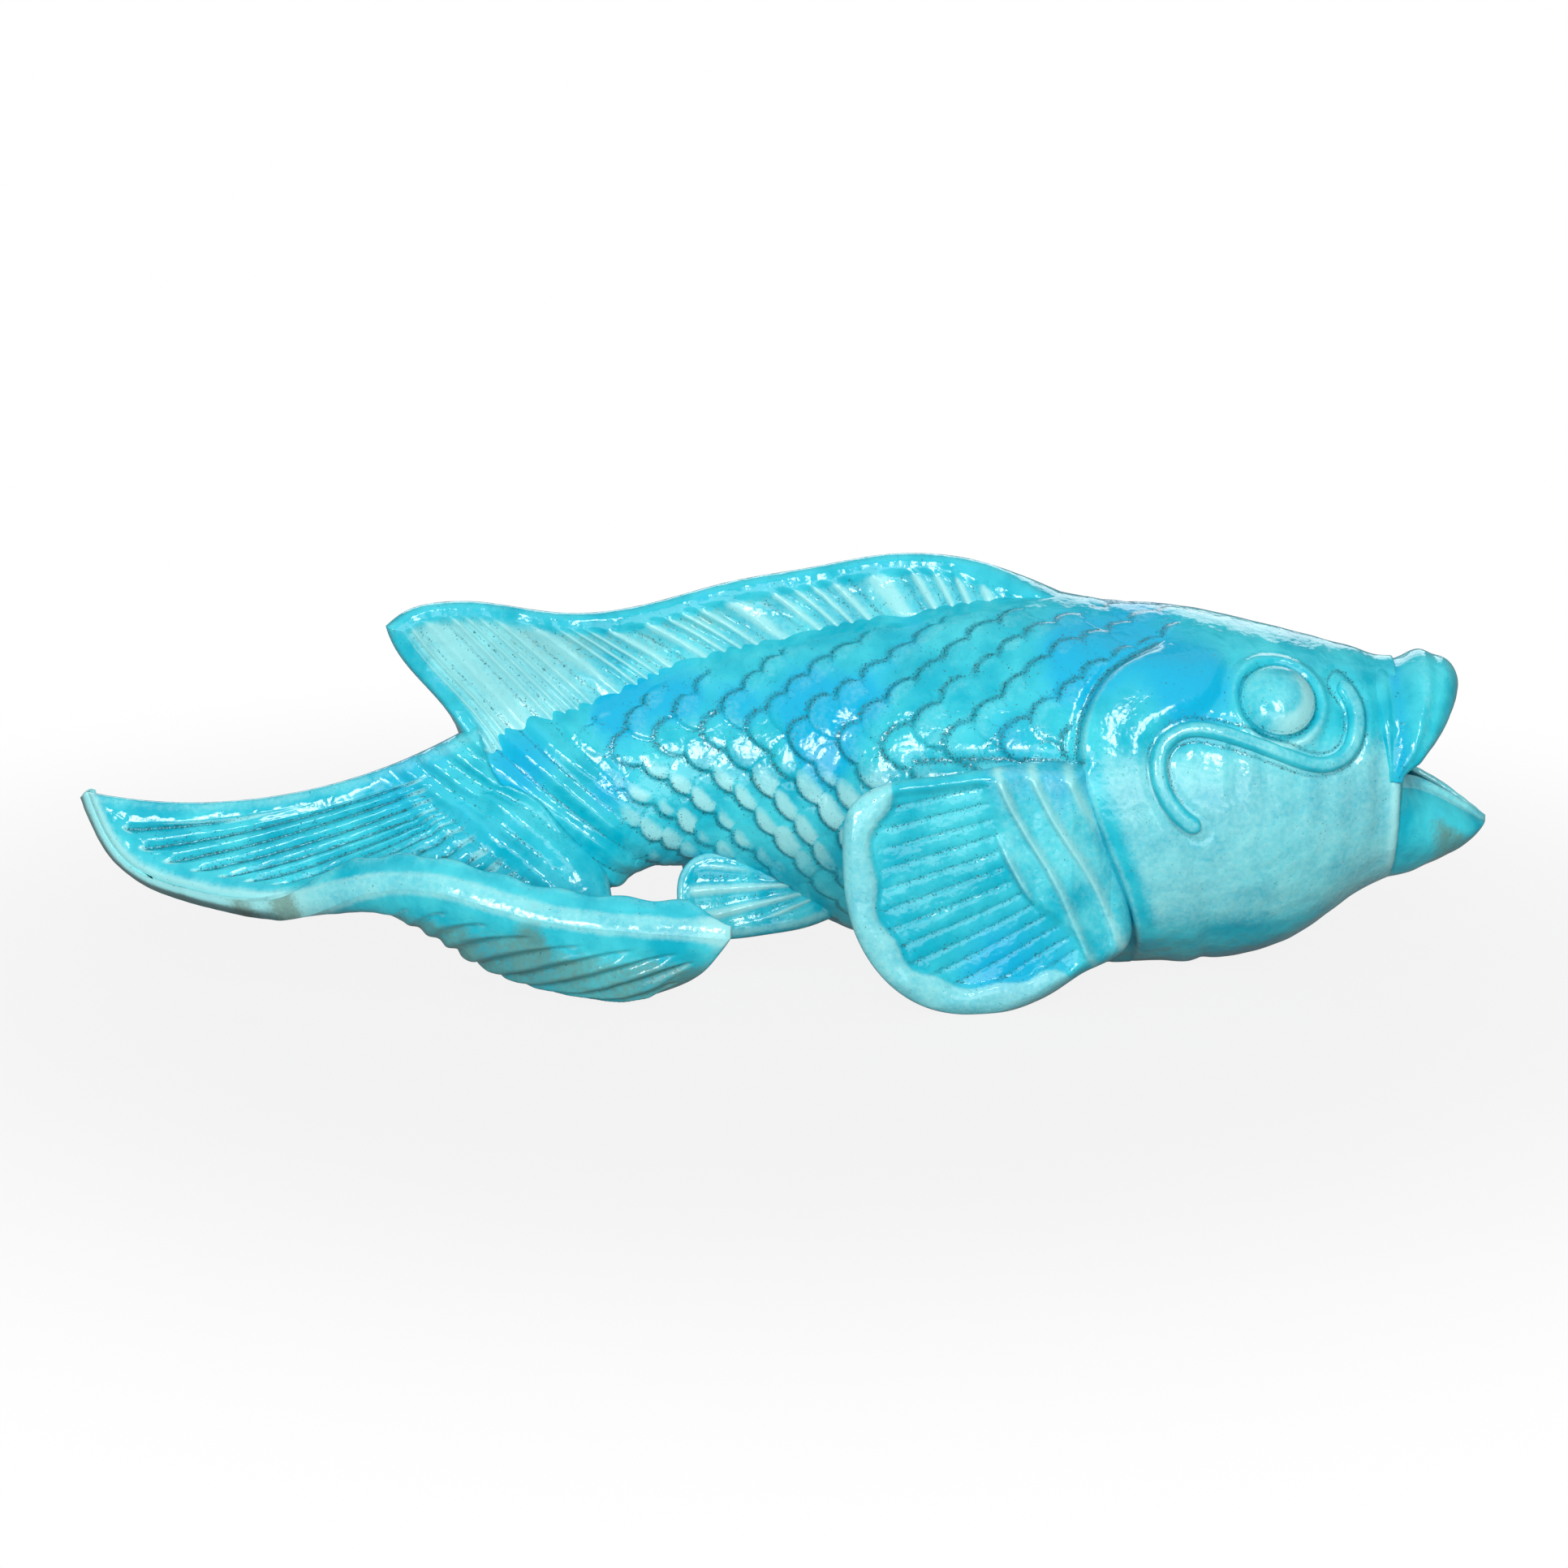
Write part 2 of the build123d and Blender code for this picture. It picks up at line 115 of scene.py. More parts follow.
def wobble(points, size, seed):
    """Soft random relief, about -1 to 1, from waves with fixed directions."""
    rng = np.random.default_rng(seed)
    total = np.zeros(points.shape[:-1])
    for _ in range(7):
        way = unit(rng.normal(size=3)) / (size * rng.uniform(0.6, 1.7))
        total += np.sin(points @ way * 2 * math.pi + rng.uniform(0, 2 * math.pi))
    return total / 4.0


def grid_normals(points, wrap):
    """Unit normals of a grid of points; wrap closes it across the columns."""
    if wrap:
        wide = np.concatenate([points[:, -1:], points, points[:, :1]], axis=1)
        across = wide[:, 2:] - wide[:, :-2]
    else:
        across = np.gradient(points, axis=1)
    return unit(np.cross(np.gradient(points, axis=0), across))


def nearest(points, path):
    """Distance from every point to a path, and how far along the path the nearest place is, 0 to 1."""
    shape = points.shape[:-1]
    flat = points.reshape(-1, 3)
    best = np.full(len(flat), 1e18)
    where = np.zeros(len(flat))
    for i, (start, end) in enumerate(zip(path[:-1], path[1:])):
        way = end - start
        share = np.clip((flat - start) @ way / max(way @ way, 1e-12), 0, 1)
        square = ((flat - start - share[:, None] * way) ** 2).sum(axis=1)
        closer = square < best
        best[closer] = square[closer]
        where[closer] = (i + share[closer]) / (len(path) - 1)
    return np.sqrt(best).reshape(shape), where.reshape(shape)


# Meshes

def write_mesh(name, points, faces, glaze, nodes):
    """A smooth mesh piece from points in millimetres.

    The glaze is up to four shares for each point, which the material reads: how deep in a groove it lies,
    how much blue pools there, how pale it is from thinned glaze and painted highlights, and how much
    brown is laid on, from clay that shows through and from painted shade.
    """
    mesh = bpy.data.meshes.new(name)
    flat = (np.asarray(points).reshape(-1, 3) + SHIFT) * MM
    faces = np.asarray(faces, dtype=np.int32)
    size = faces.shape[1]
    mesh.vertices.add(len(flat))
    mesh.vertices.foreach_set("co", flat.astype(np.float32).ravel())
    mesh.loops.add(faces.size)
    mesh.loops.foreach_set("vertex_index", faces.ravel())
    mesh.polygons.add(len(faces))
    mesh.polygons.foreach_set("loop_start", np.arange(0, faces.size, size, dtype=np.int32))
    mesh.update(calc_edges=True)
    mesh.validate()
    mesh.polygons.foreach_set("use_smooth", np.ones(len(mesh.polygons), dtype=bool))
    layer = mesh.color_attributes.new("glaze", "FLOAT_COLOR", "POINT")
    data = np.zeros((len(flat), 4), dtype=np.float32)
    for channel, values in enumerate(glaze):
        data[:, channel] = np.clip(np.asarray(values).ravel(), 0, 1)
    layer.data.foreach_set("color", data.ravel())
    piece = bpy.data.objects.new(name, mesh)
    bpy.context.collection.objects.link(piece)
    mesh.materials.append(glaze_material())
    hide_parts(*nodes)
    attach(piece, "root")
    return piece


def grid_faces(rows, columns, wrap):
    """Quads of a grid of rows and columns, closed across the columns if wrap."""
    r = np.arange(rows - 1)[:, None]
    c = np.arange(columns if wrap else columns - 1)[None, :]
    n = (c + 1) % columns
    here, below = r * columns, (r + 1) * columns
    corners = np.broadcast_arrays(here + c, here + n, below + n, below + c)
    return np.stack(corners, axis=-1).reshape(-1, 4)


# Glaze material

class Sock:
    """An output socket of a node; sums, differences and products of it add Math nodes."""

    def __init__(self, tree, socket):
        self.tree, self.socket = tree, socket

    def __add__(self, other):
        return self.tree.math("ADD", self, other)

    def __radd__(self, other):
        return self.tree.math("ADD", other, self)

    def __sub__(self, other):
        return self.tree.math("SUBTRACT", self, other)

    def __rsub__(self, other):
        return self.tree.math("SUBTRACT", other, self)

    def __mul__(self, other):
        return self.tree.math("MULTIPLY", self, other)

    def __rmul__(self, other):
        return self.tree.math("MULTIPLY", other, self)

    def over(self, low, high):
        """0 below low, 1 above high, smooth between."""
        inputs = {"Value": self, "From Min": low, "From Max": high}
        return self.tree.node("ShaderNodeMapRange", inputs, {"interpolation_type": "SMOOTHSTEP"}, "Result")

    def beside(self, out):
        """Another output socket of the same node."""
        return Sock(self.tree, self.socket.node.outputs[out])


class Tree:
    """A node tree that gets all its nodes from its method node."""

    def __init__(self, tree):
        self.tree = tree
        tree.nodes.clear()

    def node(self, kind, inputs=(), settings=(), out=0):
        """Output socket of a new node, or None for the tree's own output.

        The node's settings are set first, and then the values or links of its input sockets.
        """
        node = self.tree.nodes.new(kind)
        for key, value in dict(settings).items():
            setattr(node, key, value)
        for key, value in dict(inputs).items():
            if isinstance(value, Sock):
                self.tree.links.new(value.socket, node.inputs[key])
            else:
                node.inputs[key].default_value = value
        return Sock(self, node.outputs[out]) if len(node.outputs) else None

    def math(self, kind, first, second):
        """Result of a Math node on two sockets or numbers."""
        return self.node("ShaderNodeMath", {0: first, 1: second}, {"operation": kind})

    def noise(self, where, scale, detail=3.0, rough=0.55, distort=0.0):
        """Noise at the places `where`, with so many waves to the metre."""
        inputs = {"Vector": where, "Scale": scale, "Detail": detail}
        inputs.update({"Roughness": rough, "Distortion": distort})
        return self.node("ShaderNodeTexNoise", inputs)

    def mix(self, factor, first, second):
        """Colour between first and second. A Mix node's sockets for colours are 6 and 7 in and 2 out."""
        return self.node("ShaderNodeMix", {0: factor, 6: first, 7: second}, {"data_type": "RGBA"}, 2)


def shade(red, green, blue):
    """Linear colour from screen values 0 to 255."""
    screen = [value / 255 for value in (red, green, blue)]
    return (*(s / 12.92 if s <= 0.04 else ((s + 0.055) / 1.055) ** 2.4 for s in screen), 1.0)


DEEP_TURQUOISE = shade(0, 184, 208)
PALE_TURQUOISE = shade(72, 218, 232)
POOL_BLUE = shade(0, 184, 226)
# Pale colour of glaze that thins on edges, also laid on as painted highlights.
THIN_EDGE_AND_HIGHLIGHT = shade(176, 242, 242)
GROOVE_TEAL = shade(8, 136, 156)
# Brown of the bare clay, also laid on as painted shade under the front of the belly and in the tail's scoop.
BARE_CLAY_AND_SHADE = shade(112, 138, 118)
SPECK_DARK = shade(20, 74, 74)


def glaze_material():
    """The turquoise glaze: pooled blue, pale edges and painted highlights, brown where the glaze thins and as
    painted shade, dark specks in the grooves.
    """
    material = bpy.data.materials.get("pooled_glaze")
    if material:
        return material
    material = bpy.data.materials.new("pooled_glaze")
    material.use_nodes = True
    t = Tree(material.node_tree)
    where = t.node("ShaderNodeTexCoord", out="Object")
    data = t.node("ShaderNodeAttribute", settings={"attribute_name": "glaze"})
    parts = t.node("ShaderNodeSeparateColor", {"Color": data})
    groove, pool, thin_and_highlight = (parts.beside(colour) for colour in ("Red", "Green", "Blue"))
    clay_and_shade = data.beside("Alpha")

    cloud = t.noise(where, 55.0)
    patch = t.noise(where, 120.0, distort=0.15)
    fine = t.noise(where, 900.0, 2.0)
    speck = t.noise(where, 2600.0, 1.0, 0.4)
    grain = t.noise(where, 1500.0, 2.0, 0.6)

    base = t.mix((patch * 0.45 + cloud * 0.55).over(0.36, 0.64), DEEP_TURQUOISE, PALE_TURQUOISE)
    deep = (pool + (patch - 0.5) * 0.9 + (cloud - 0.5) * 0.7).over(0.22, 0.9)
    base = t.mix(deep, base, POOL_BLUE)
    # Paler glaze: thinned on edges and ridges, and painted highlights on the cheek, lower flank, tail ray
    # ends, dorsal rays and eye.
    edge = (thin_and_highlight + (fine - 0.5) * 0.35 + (patch - 0.5) * 0.3).over(0.25, 0.85)
    base = t.mix(edge * 0.8, base, THIN_EDGE_AND_HIGHLIGHT)
    crack = (groove + (fine - 0.5) * 0.5).over(0.3, 1.0)
    base = t.mix(crack * 0.65, base, GROOVE_TEAL)
    # Clay brown: where the glaze thins away, and painted shade under the front of the belly and in the tail's
    # scoop.
    worn_and_shaded = (clay_and_shade + (patch - 0.5) * 0.7 + (fine - 0.5) * 0.8).over(0.25, 1.1)
    base = t.mix(worn_and_shaded * 0.7, base, BARE_CLAY_AND_SHADE)
    dots = (groove * 0.62 + (speck - 0.5) * 2.6 + (grain - 0.5) * 1.3).over(0.60, 0.86)
    stray = ((patch - 0.5) * 0.9 + (speck - 0.5) * 2.4).over(0.78, 0.92)
    base = t.mix(dots * 0.8 + stray * 0.35, base, SPECK_DARK)

    ripple = t.noise(where, 240.0, 2.0)
    height = 0.8 * ripple + 0.12 * fine - 0.25 * dots
    bumped = t.node("ShaderNodeBump", {"Height": height, "Strength": 0.35, "Distance": 0.0012})
    rough = t.math("MAXIMUM", 0.14 + (0.25 * dots + 0.06 * (fine - 0.5)), 0.05)
    look = {"Base Color": base, "Roughness": rough, "Normal": bumped, "IOR": 1.5}
    t.node("ShaderNodeOutputMaterial", {"Surface": t.node("ShaderNodeBsdfPrincipled", look)})
    return material


# Body skin

# Stations from the mouth end to the tail root: centre, turns about Z, across and along in degrees,
# half height and half width. They follow the sections of the CAD body.
STATIONS = np.array([
    (142.9, 0.0, 46.5, 0, 0, 0, 27.0, 19.6),
    (136.0, 0.0, 45.5, 0, 0, 0, 29.4, 22.6),
    (124.1, 0.0, 42.7, 0, 0, 0, 35.2, 28.0),
    (107.9, 0.8, 41.5, 0, 0, 0, 40.5, 34.0),
    (88.1, 3.0, 42.0, 0, 0, 0, 44.0, 39.0),
    (64.0, 6.0, 43.5, 0, 0, 0, 45.5, 40.0),
    (39.9, 9.0, 42.5, 0, 0, 0, 43.5, 37.5),
    (15.8, 11.0, 43.0, 0, 0, 0, 38.5, 32.0),
    (-5.0, 10.0, 45.5, 8, 2, 4, 31.0, 25.0),
    (-25.1, 7.0, 45.5, 18, 6, 10, 25.5, 18.5),
    (-43.6, 1.0, 40.5, 30, 15, 20, 23.1, 13.5),
    (-62.0, -10.0, 34.5, 45, 28, 34, 26.3, 8.4),
], dtype=float)
STATION_RUN = along(STATIONS[:, :3])
BACK = np.array([(0, 1), (0.52, 1), (1, 0.52), (1, -0.06)], dtype=float)
BELLY = np.array([(1, -0.06), (1, -0.60), (0.56, -1), (0, -1)], dtype=float)


def bezier(control, t):
    """Points on the curve with four control points."""
    a, b, c, d = control
    t = np.asarray(t, float)[:, None]
    return a * (1 - t) ** 3 + 3 * b * t * (1 - t) ** 2 + 3 * c * t**2 * (1 - t) + d * t**3


def section_ring(count):
    """Shares of half width and half height round a section: from the back down the right, up the left."""
    t = np.linspace(0, 1, 400)
    side = np.concatenate([bezier(BACK, t), bezier(BELLY, t)[1:]])
    run = along(side * (40, 44))
    places = np.linspace(0, run[-1], count // 2 + 1)
    right = np.stack([np.interp(places, run, side[:, k]) for k in (0, 1)], axis=1)
    left = right[1:-1][::-1] * (-1, 1)
    return np.concatenate([right, left])


def body_rows(runs, ring, inset=0.0):
    """Rings of points at running lengths along the body."""
    rows = natural_spline(STATION_RUN, STATIONS, runs)
    yaw, pitch, roll = np.radians(rows[:, 3:6]).T
    forward = np.stack([np.cos(pitch) * np.cos(yaw), np.cos(pitch) * np.sin(yaw), np.sin(pitch)], axis=1)
    right = np.stack([np.sin(yaw), -np.cos(yaw), np.zeros_like(yaw)], axis=1)
    leaned = right * np.cos(roll)[:, None] + np.cross(right, forward) * np.sin(roll)[:, None]
    up = np.cross(-forward, leaned)
    wide = (rows[:, 7] - inset)[:, None, None] * ring[None, :, :1] * leaned[:, None, :]
    high = (rows[:, 6] - inset)[:, None, None] * ring[None, :, 1:] * up[:, None, :]
    return rows[:, None, :3] + wide + high


BODY_STEP = 0.5
BODY_RING = section_ring(480)
BODY_RUNS = np.linspace(0, STATION_RUN[-1] - BODY_STEP, int(STATION_RUN[-1] / BODY_STEP))
SKIN = body_rows(BODY_RUNS, BODY_RING)
SKIN_OUT = grid_normals(SKIN, True)


def on_skin(x, z, side):
    """Place and outward direction on the plain skin of one side, for a place in side view."""
    half = SKIN.shape[1] // 2
    block = SKIN[:, :half] if side < 0 else SKIN[:, half:]
    out = SKIN_OUT[:, :half] if side < 0 else SKIN_OUT[:, half:]
    gap = (block[..., 0] - x) ** 2 + (block[..., 2] - z) ** 2 + (out[..., 1] * side < 0.05) * 1e4
    i, j = np.unravel_index(np.argmin(gap), gap.shape)
    return np.array([x, block[i, j, 1], z]), out[i, j]


# Carved lines and the eye in side view, from their front or upper end.
WHISKER_SIDE = [
    (128.4, 70.0), (131.3, 65.8), (131.7, 59.9), (129.0, 55.0), (123.7, 53.3), (116.5, 55.3), (107.9, 58.8),
    (99.3, 61.7), (91.7, 62.4), (86.5, 59.4), (85.1, 54.0), (86.8, 48.3), (90.1, 43.7), (94.7, 40.2),
]
GILL_SIDE = [
    (86.5, 80.2), (78.9, 76.9), (73.2, 72.9), (69.6, 67.7), (67.6, 61.3), (67.3, 54.7), (70.0, 45.2),
    (73.9, 35.1), (78.2, 24.7), (80.8, 14.9), (82.0, 4.0),
]
BEND_SIDE = [(30, 82), (24, 72), (17, 61), (12, 52), (9, 44)]
OVER_FIN_SIDE = [(30, 53.4), (41, 54.6), (55, 55.4), (68, 55.4)]
EYE_SIDE = (113.5, 67.7)

# Pools of blue glaze in side view: place, radius and strength.
POOLS = [
    (5, 64, 8, 1.1), (8, 54, 6, 0.9), (15, 67, 6, 0.5), (-11, 63, 6, 0.6), (-38, 63, 8, 1.1),
    (-24, 64, 6, 0.8), (-62, 50, 9, 0.9), (93, 72, 9, 1.4), (69, 77, 10, 1.2), (82, 84, 8, 0.8),
    (46, 40, 12, 0.4), (-41, 44, 6, 0.7), (118, 40, 12, 0.3), (52, 60, 6, 0.5),
]


def pooled(points):
    """How much the glaze pools blue at places seen from the side."""
    total = np.zeros(points.shape[:-1])
    for x, z, size, much in POOLS:
        total += much * np.exp(-((points[..., 0] - x) ** 2 + (points[..., 2] - z) ** 2) / size**2)
    return total


def side_distance(points, path):
    """Distance in side view from points to a path, and how far along the path."""
    flat = points.copy()
    flat[..., 1] = 0
    line = path_through([(x, 0.0, z) for x, z in path], 60)
    return nearest(flat, line)


def scatter(i, j, seed):
    """Repeatable number from -1 to 1 for a pair of whole numbers."""
    value = np.sin(i * 127.1 + j * 311.7 + seed * 74.7) * 43758.5453
    return (value - np.floor(value)) * 2 - 1


def root_ridges(points):
    """Slanted ridges, -1 to 1, that run on from the end of the body into the tail."""
    return np.sin((points[..., 2] * 0.9 + points[..., 0] * 0.75) / 6.4 * 2 * math.pi)


def scales(along_mm, across_mm, pitch, width):
    """Overlapping scales: height in millimetres and groove strength.

    Scales stand in columns across the fish; each column lies under the one nearer the head and is
    offset by half a scale. Their free edges turn toward the back above the flank and toward the belly
    below it, where the other part of each edge is nearly closed by glaze.
    """
    s, q = along_mm / pitch, across_mm / width
    height = np.zeros_like(s)
    taken = np.zeros(s.shape, bool)
    groove = np.zeros_like(s)
    upper = smooth(-across_mm, -3, 9)
    first = np.floor(s).astype(int) - 2
    for step in range(5):
        k = first + step
        for shift in (-1, 0, 1):
            m = np.round(q - 0.5 * (k % 2)).astype(int) + shift
            cs = k + 0.12 * scatter(k, m, 1)
            cq = m + 0.5 * (k % 2) + 0.06 * scatter(k, m, 2)
            ds, dq = (s - cs) * pitch, (q - cq) * width
            reach = np.hypot(ds / (1.5 + 0.08 * scatter(k, m, 4)), dq / 1.03)
            edge = width * 0.5 - reach
            facing = dq / np.maximum(reach, 0.1) * np.where(across_mm < 0, -1.0, 1.0)
            strength = 0.38 + 0.62 * smooth(facing, -0.5, 0.2)
            mark = bump(edge, 0, 1.0) * strength
            mark = np.where((ds > -width * 0.35) & ~taken, mark, 0.0)
            groove = np.maximum(groove, mark)
            inside = (edge > 0) & ~taken
            rim = np.clip(edge / 2.6, 0, 1)
            round_off = np.sqrt(1 - (1 - rim) ** 2)
            lift = 0.50 * (round_off * strength + (1 - strength)) + 0.05 * ds
            lift = lift + 0.05 * dq * (1 - 2 * upper) + 0.12 * scatter(k, m, 3)
            height = np.where(inside, lift, height)
            taken |= inside
    return height, groove


def body_places():
    """Where each point of the skin lies: along the body, down its side, and ahead of the gill edge."""
    x, z = SKIN[..., 0], SKIN[..., 2]
    steps = np.linalg.norm(np.diff(SKIN, axis=1), axis=2)
    down = np.zeros(x.shape)
    down[:, 1:] = np.cumsum(steps, axis=1)
    girth = down[:, -1:] + np.linalg.norm(SKIN[:, :1] - SKIN[:, -1:], axis=2)
    on_left = np.arange(x.shape[1])[None, :] >= x.shape[1] // 2
    down = np.where(on_left, girth - down, down)

    gill_gap, _ = side_distance(SKIN, GILL_SIDE)
    line = path_through([(a, 0.0, b) for a, b in GILL_SIDE], 160)
    edge_x = np.interp(z, line[::-1, 2], line[::-1, 0])
    top_x, top_z = GILL_SIDE[0]
    edge_x = np.where(z > top_z, top_x + (z - top_z) * 1.6, edge_x)
    ahead = gill_gap * np.where(x > edge_x, 1.0, -1.0)
    tail_end = BODY_RUNS[-1]
    run = BODY_RUNS[:, None] + 0 * down
    return SimpleNamespace(
        x=x, z=z, down=down, girth=girth, run=run, ahead=ahead, tail_end=tail_end,
        flank_line=girth * 0.185, tailward=smooth(run, tail_end - 28, tail_end - 10),
    )


def scale_field(b):
    """Scales behind the gill covers, smaller toward the tail: their lift, their cracks and where they lie."""
    far = smooth(b.run, 120, b.tail_end)
    lift, crack = scales(b.run - 60, b.down - b.flank_line, 6.5 - 0.5 * far, 11.0 - 2.0 * far)
    cover = smooth(-b.ahead, 0.8, 2.6) * (1 - smooth(b.run, b.tail_end - 26, b.tail_end - 12))
    fin_gap = np.where((b.x < 72) & (b.x > -80), b.down, 99.0)
    return lift, crack, cover * smooth(fin_gap, 9.5, 12.5)


def gill_relief(b):
    """Gill covers, with their free edge and an arc ahead of it: height and groove."""
    plate = smooth(b.ahead, -0.3, 1.3) * (1 - smooth(b.ahead, 2.0, 20.0))
    edge_part, arc_part = smooth(b.down, 8, 16), smooth(b.down, 14, 24)
    height = 1.8 * plate * smooth(b.down, 16, 30) * smooth(b.z, 1, 14)
    height = height - 0.7 * bump(b.ahead, -0.9, 1.4) * edge_part
    height = height + (0.55 * bump(b.ahead, 13.0, 3.2) - 0.5 * bump(b.ahead, 17.5, 2.0)) * arc_part
    return height, bump(b.ahead, -0.6, 0.9) * edge_part


def face_relief(eye_gap):
    """Ring round the eyes and grooves beside the whiskers: height and groove."""
    height = 1.1 * bump(eye_gap, 11.0, 1.5) - 0.8 * bump(eye_gap, 9.0, 1.0)
    groove = 0.8 * bump(eye_gap, 9.1, 0.7) + 0.35 * bump(eye_gap, 12.8, 0.5)
    whisker_gap, _ = side_distance(SKIN, WHISKER_SIDE)
    height = height - 0.45 * bump(whisker_gap, 2.8, 0.9)
    return height, np.maximum(groove, 0.8 * bump(whisker_gap, 2.6, 0.6))


def hand_modelling(b, bend_gap):
    """Uneven clay: the fold at the bend, waves on the head, and places pressed in by hand."""
    height = -1.1 * bump(bend_gap, 0, 4.0) * (b.down < b.girth * 0.3)
    height = height + 0.30 * wobble(SKIN, 26.0, 3) + 0.07 * wobble(SKIN, 7.0, 4)
    waves = np.sin(b.x / 7.0 * 2 * math.pi) * smooth(b.down, 10, 30) * (1 - smooth(b.down, 50, 66))
    height = height + 0.12 * smooth(b.ahead, 10, 30) * waves
    height = height - 0.8 * bump(b.x, 139.5, 3.6) * smooth(b.z, 30, 45)
    height = height - 2.5 * bump(b.x, 75, 16) * (1 - smooth(b.down, 14, 34))
    height = height - 1.2 * bump(b.x, 88, 16) * (1 - smooth(b.z, 8, 20))
    height = height - 1.4 * bump(b.x, -32, 9) * (1 - smooth(b.z, 20, 34))
    return height - 3.2 * smooth(b.run, b.tail_end - 13, b.tail_end)


def body_ends(moved):
    """Rings that close the skin: ahead of it the mouth wall turned in, behind it the tail end."""
    inner = body_rows(np.linspace(0, 32, 40), BODY_RING, 5.2)
    lip = (moved[:1] + inner[:1]) / 2 + np.array([0.9, 0, 0])
    cap = inner.mean(axis=1, keepdims=True)[-1:] + 0 * inner[-1:]
    middle = moved[-1:].mean(axis=1, keepdims=True)
    tail = [middle + (moved[-1:] - middle) * share for share in (0.9, 0.6, 0.3, 0.01)]
    return np.concatenate([cap, inner[::-1], lip]), np.concatenate(tail)


def build_body():
    """Body: the hollow skin of both halves with its scales, gill covers, folds and pools of glaze."""
    b = body_places()
    eyes = [on_skin(*EYE_SIDE, side)[0] for side in (RIGHT, LEFT)]
    eye_gap = np.minimum(*(np.linalg.norm(SKIN - eye, axis=2) for eye in eyes))
    bend_gap, _ = side_distance(SKIN, BEND_SIDE)
    over_fin, _ = side_distance(SKIN, OVER_FIN_SIDE)
    lift, crack, cover = scale_field(b)
    gill_height, gill_groove = gill_relief(b)
    face_height, face_groove = face_relief(eye_gap)
    ridges = root_ridges(SKIN)
    collar = bump(b.x, 141.9, 0.9) * (1 - smooth(b.z, 42, 50)) * smooth(b.z, 20, 34)

    height = (lift - 0.55) * cover - 0.25 + gill_height + face_height + hand_modelling(b, bend_gap)
    height = height + 0.6 * b.tailward * ridges - 0.7 * bump(over_fin, 0, 1.6) + 0.7 * collar
    groove = np.maximum.reduce([0.85 * crack * cover, gill_groove, face_groove])
    groove = np.maximum(groove, 0.7 * b.tailward * smooth(-ridges, 0.75, 1.0))
    groove = groove * (0.35 + 0.65 * np.where(b.x > 60, smooth(b.z, 40, 56), 1.0))
    groove = np.maximum(groove, 0.9 * bump(over_fin, 0, 1.1))

    upper_flank = smooth(-b.ahead, 2, 12) * (1 - smooth(b.down - b.flank_line, -8, 4)) * (1 - b.tailward)
    blue = pooled(SKIN) + 0.08 * upper_flank + 0.35 * bump(bend_gap, 0, 5.0) + 0.25 * groove
    # The cheek is painted paler where the front light falls on it: painted light.
    cheek = smooth(b.ahead, 0, 7) * (1 - smooth(b.z, 52, 68)) * smooth(b.z, 4, 22)
    lower_flank = (1 - smooth(b.z, 42, 54)) * smooth(b.z, 20, 36)
    thin_and_highlight = 0.5 * bump(b.ahead, 0.9, 1.2) * smooth(b.down, 8, 16) + 0.35 * bump(eye_gap, 11.0, 1.2)
    thin_and_highlight = thin_and_highlight + 0.4 * collar + 0.58 * cheek + 0.35 * cover * smooth(lift, 0.52, 0.75)
    # Paler scale tops in a band of the lower flank: thinned glaze on raised scales, and painted light where
    # the front light falls.
    thin_and_highlight = thin_and_highlight + 0.5 * cover * lower_flank * smooth(lift, 0.4, 0.7)
    # Clay brown low on the front of the belly, under the head and pectoral fins: painted shade.
    clay_and_shade = 0.5 * (1 - smooth(b.z, 5, 22)) * smooth(b.x, 60, 90)

    moved = SKIN + SKIN_OUT * height[..., None]
    mouth, tail = body_ends(moved)
    rings = np.concatenate([mouth, moved, tail])
    rings[..., 2] = np.maximum(rings[..., 2], 0.0)

    def padded(values, at_mouth):
        sizes = ((len(mouth), len(tail)), (0, 0))
        return np.pad(values, sizes, constant_values=((at_mouth, 0.0), (0.0, 0.0)))

    glaze = (padded(groove, 0.15), padded(blue, 0.1), padded(thin_and_highlight, 0.0), padded(clay_and_shade, 0.0))
    faces = grid_faces(len(rings), rings.shape[1], True)
    write_mesh("body_shell", rings, faces, glaze, ("body_right_half", "body_left_half"))


# Fins

def round_rim(gap, radius, power=2.0):
    """Share of the full thickness at a distance from the rim."""
    return (1 - (1 - np.clip(gap / radius, 0, 1)) ** power) ** (1 / power)


def rim_spaced(count):
    """Shares from 0 to 1 that come closer together toward 1."""
    return 1 - (1 - np.linspace(0, 1, count)) ** 2


def evenly_at_ends(count):
    """Shares from 0 to 1 that come closer together toward both ends."""
    return (1 - np.cos(np.linspace(0, math.pi, count))) / 2


def two_faced(name, front, back, faces, glaze, nodes):
    """Mesh of a front and a back grid, without the points that no face uses, standing on the ground."""
    used, renumbered = np.unique(faces, return_inverse=True)
    points = np.concatenate([front.reshape(-1, 3), back.reshape(-1, 3)])[used]
    points[:, 2] = np.maximum(points[:, 2], 0.0)
    data = [np.concatenate([np.ravel(a), np.ravel(b)])[used] for a, b in glaze]
    return write_mesh(name, points, renumbered.reshape(faces.shape), data, nodes)


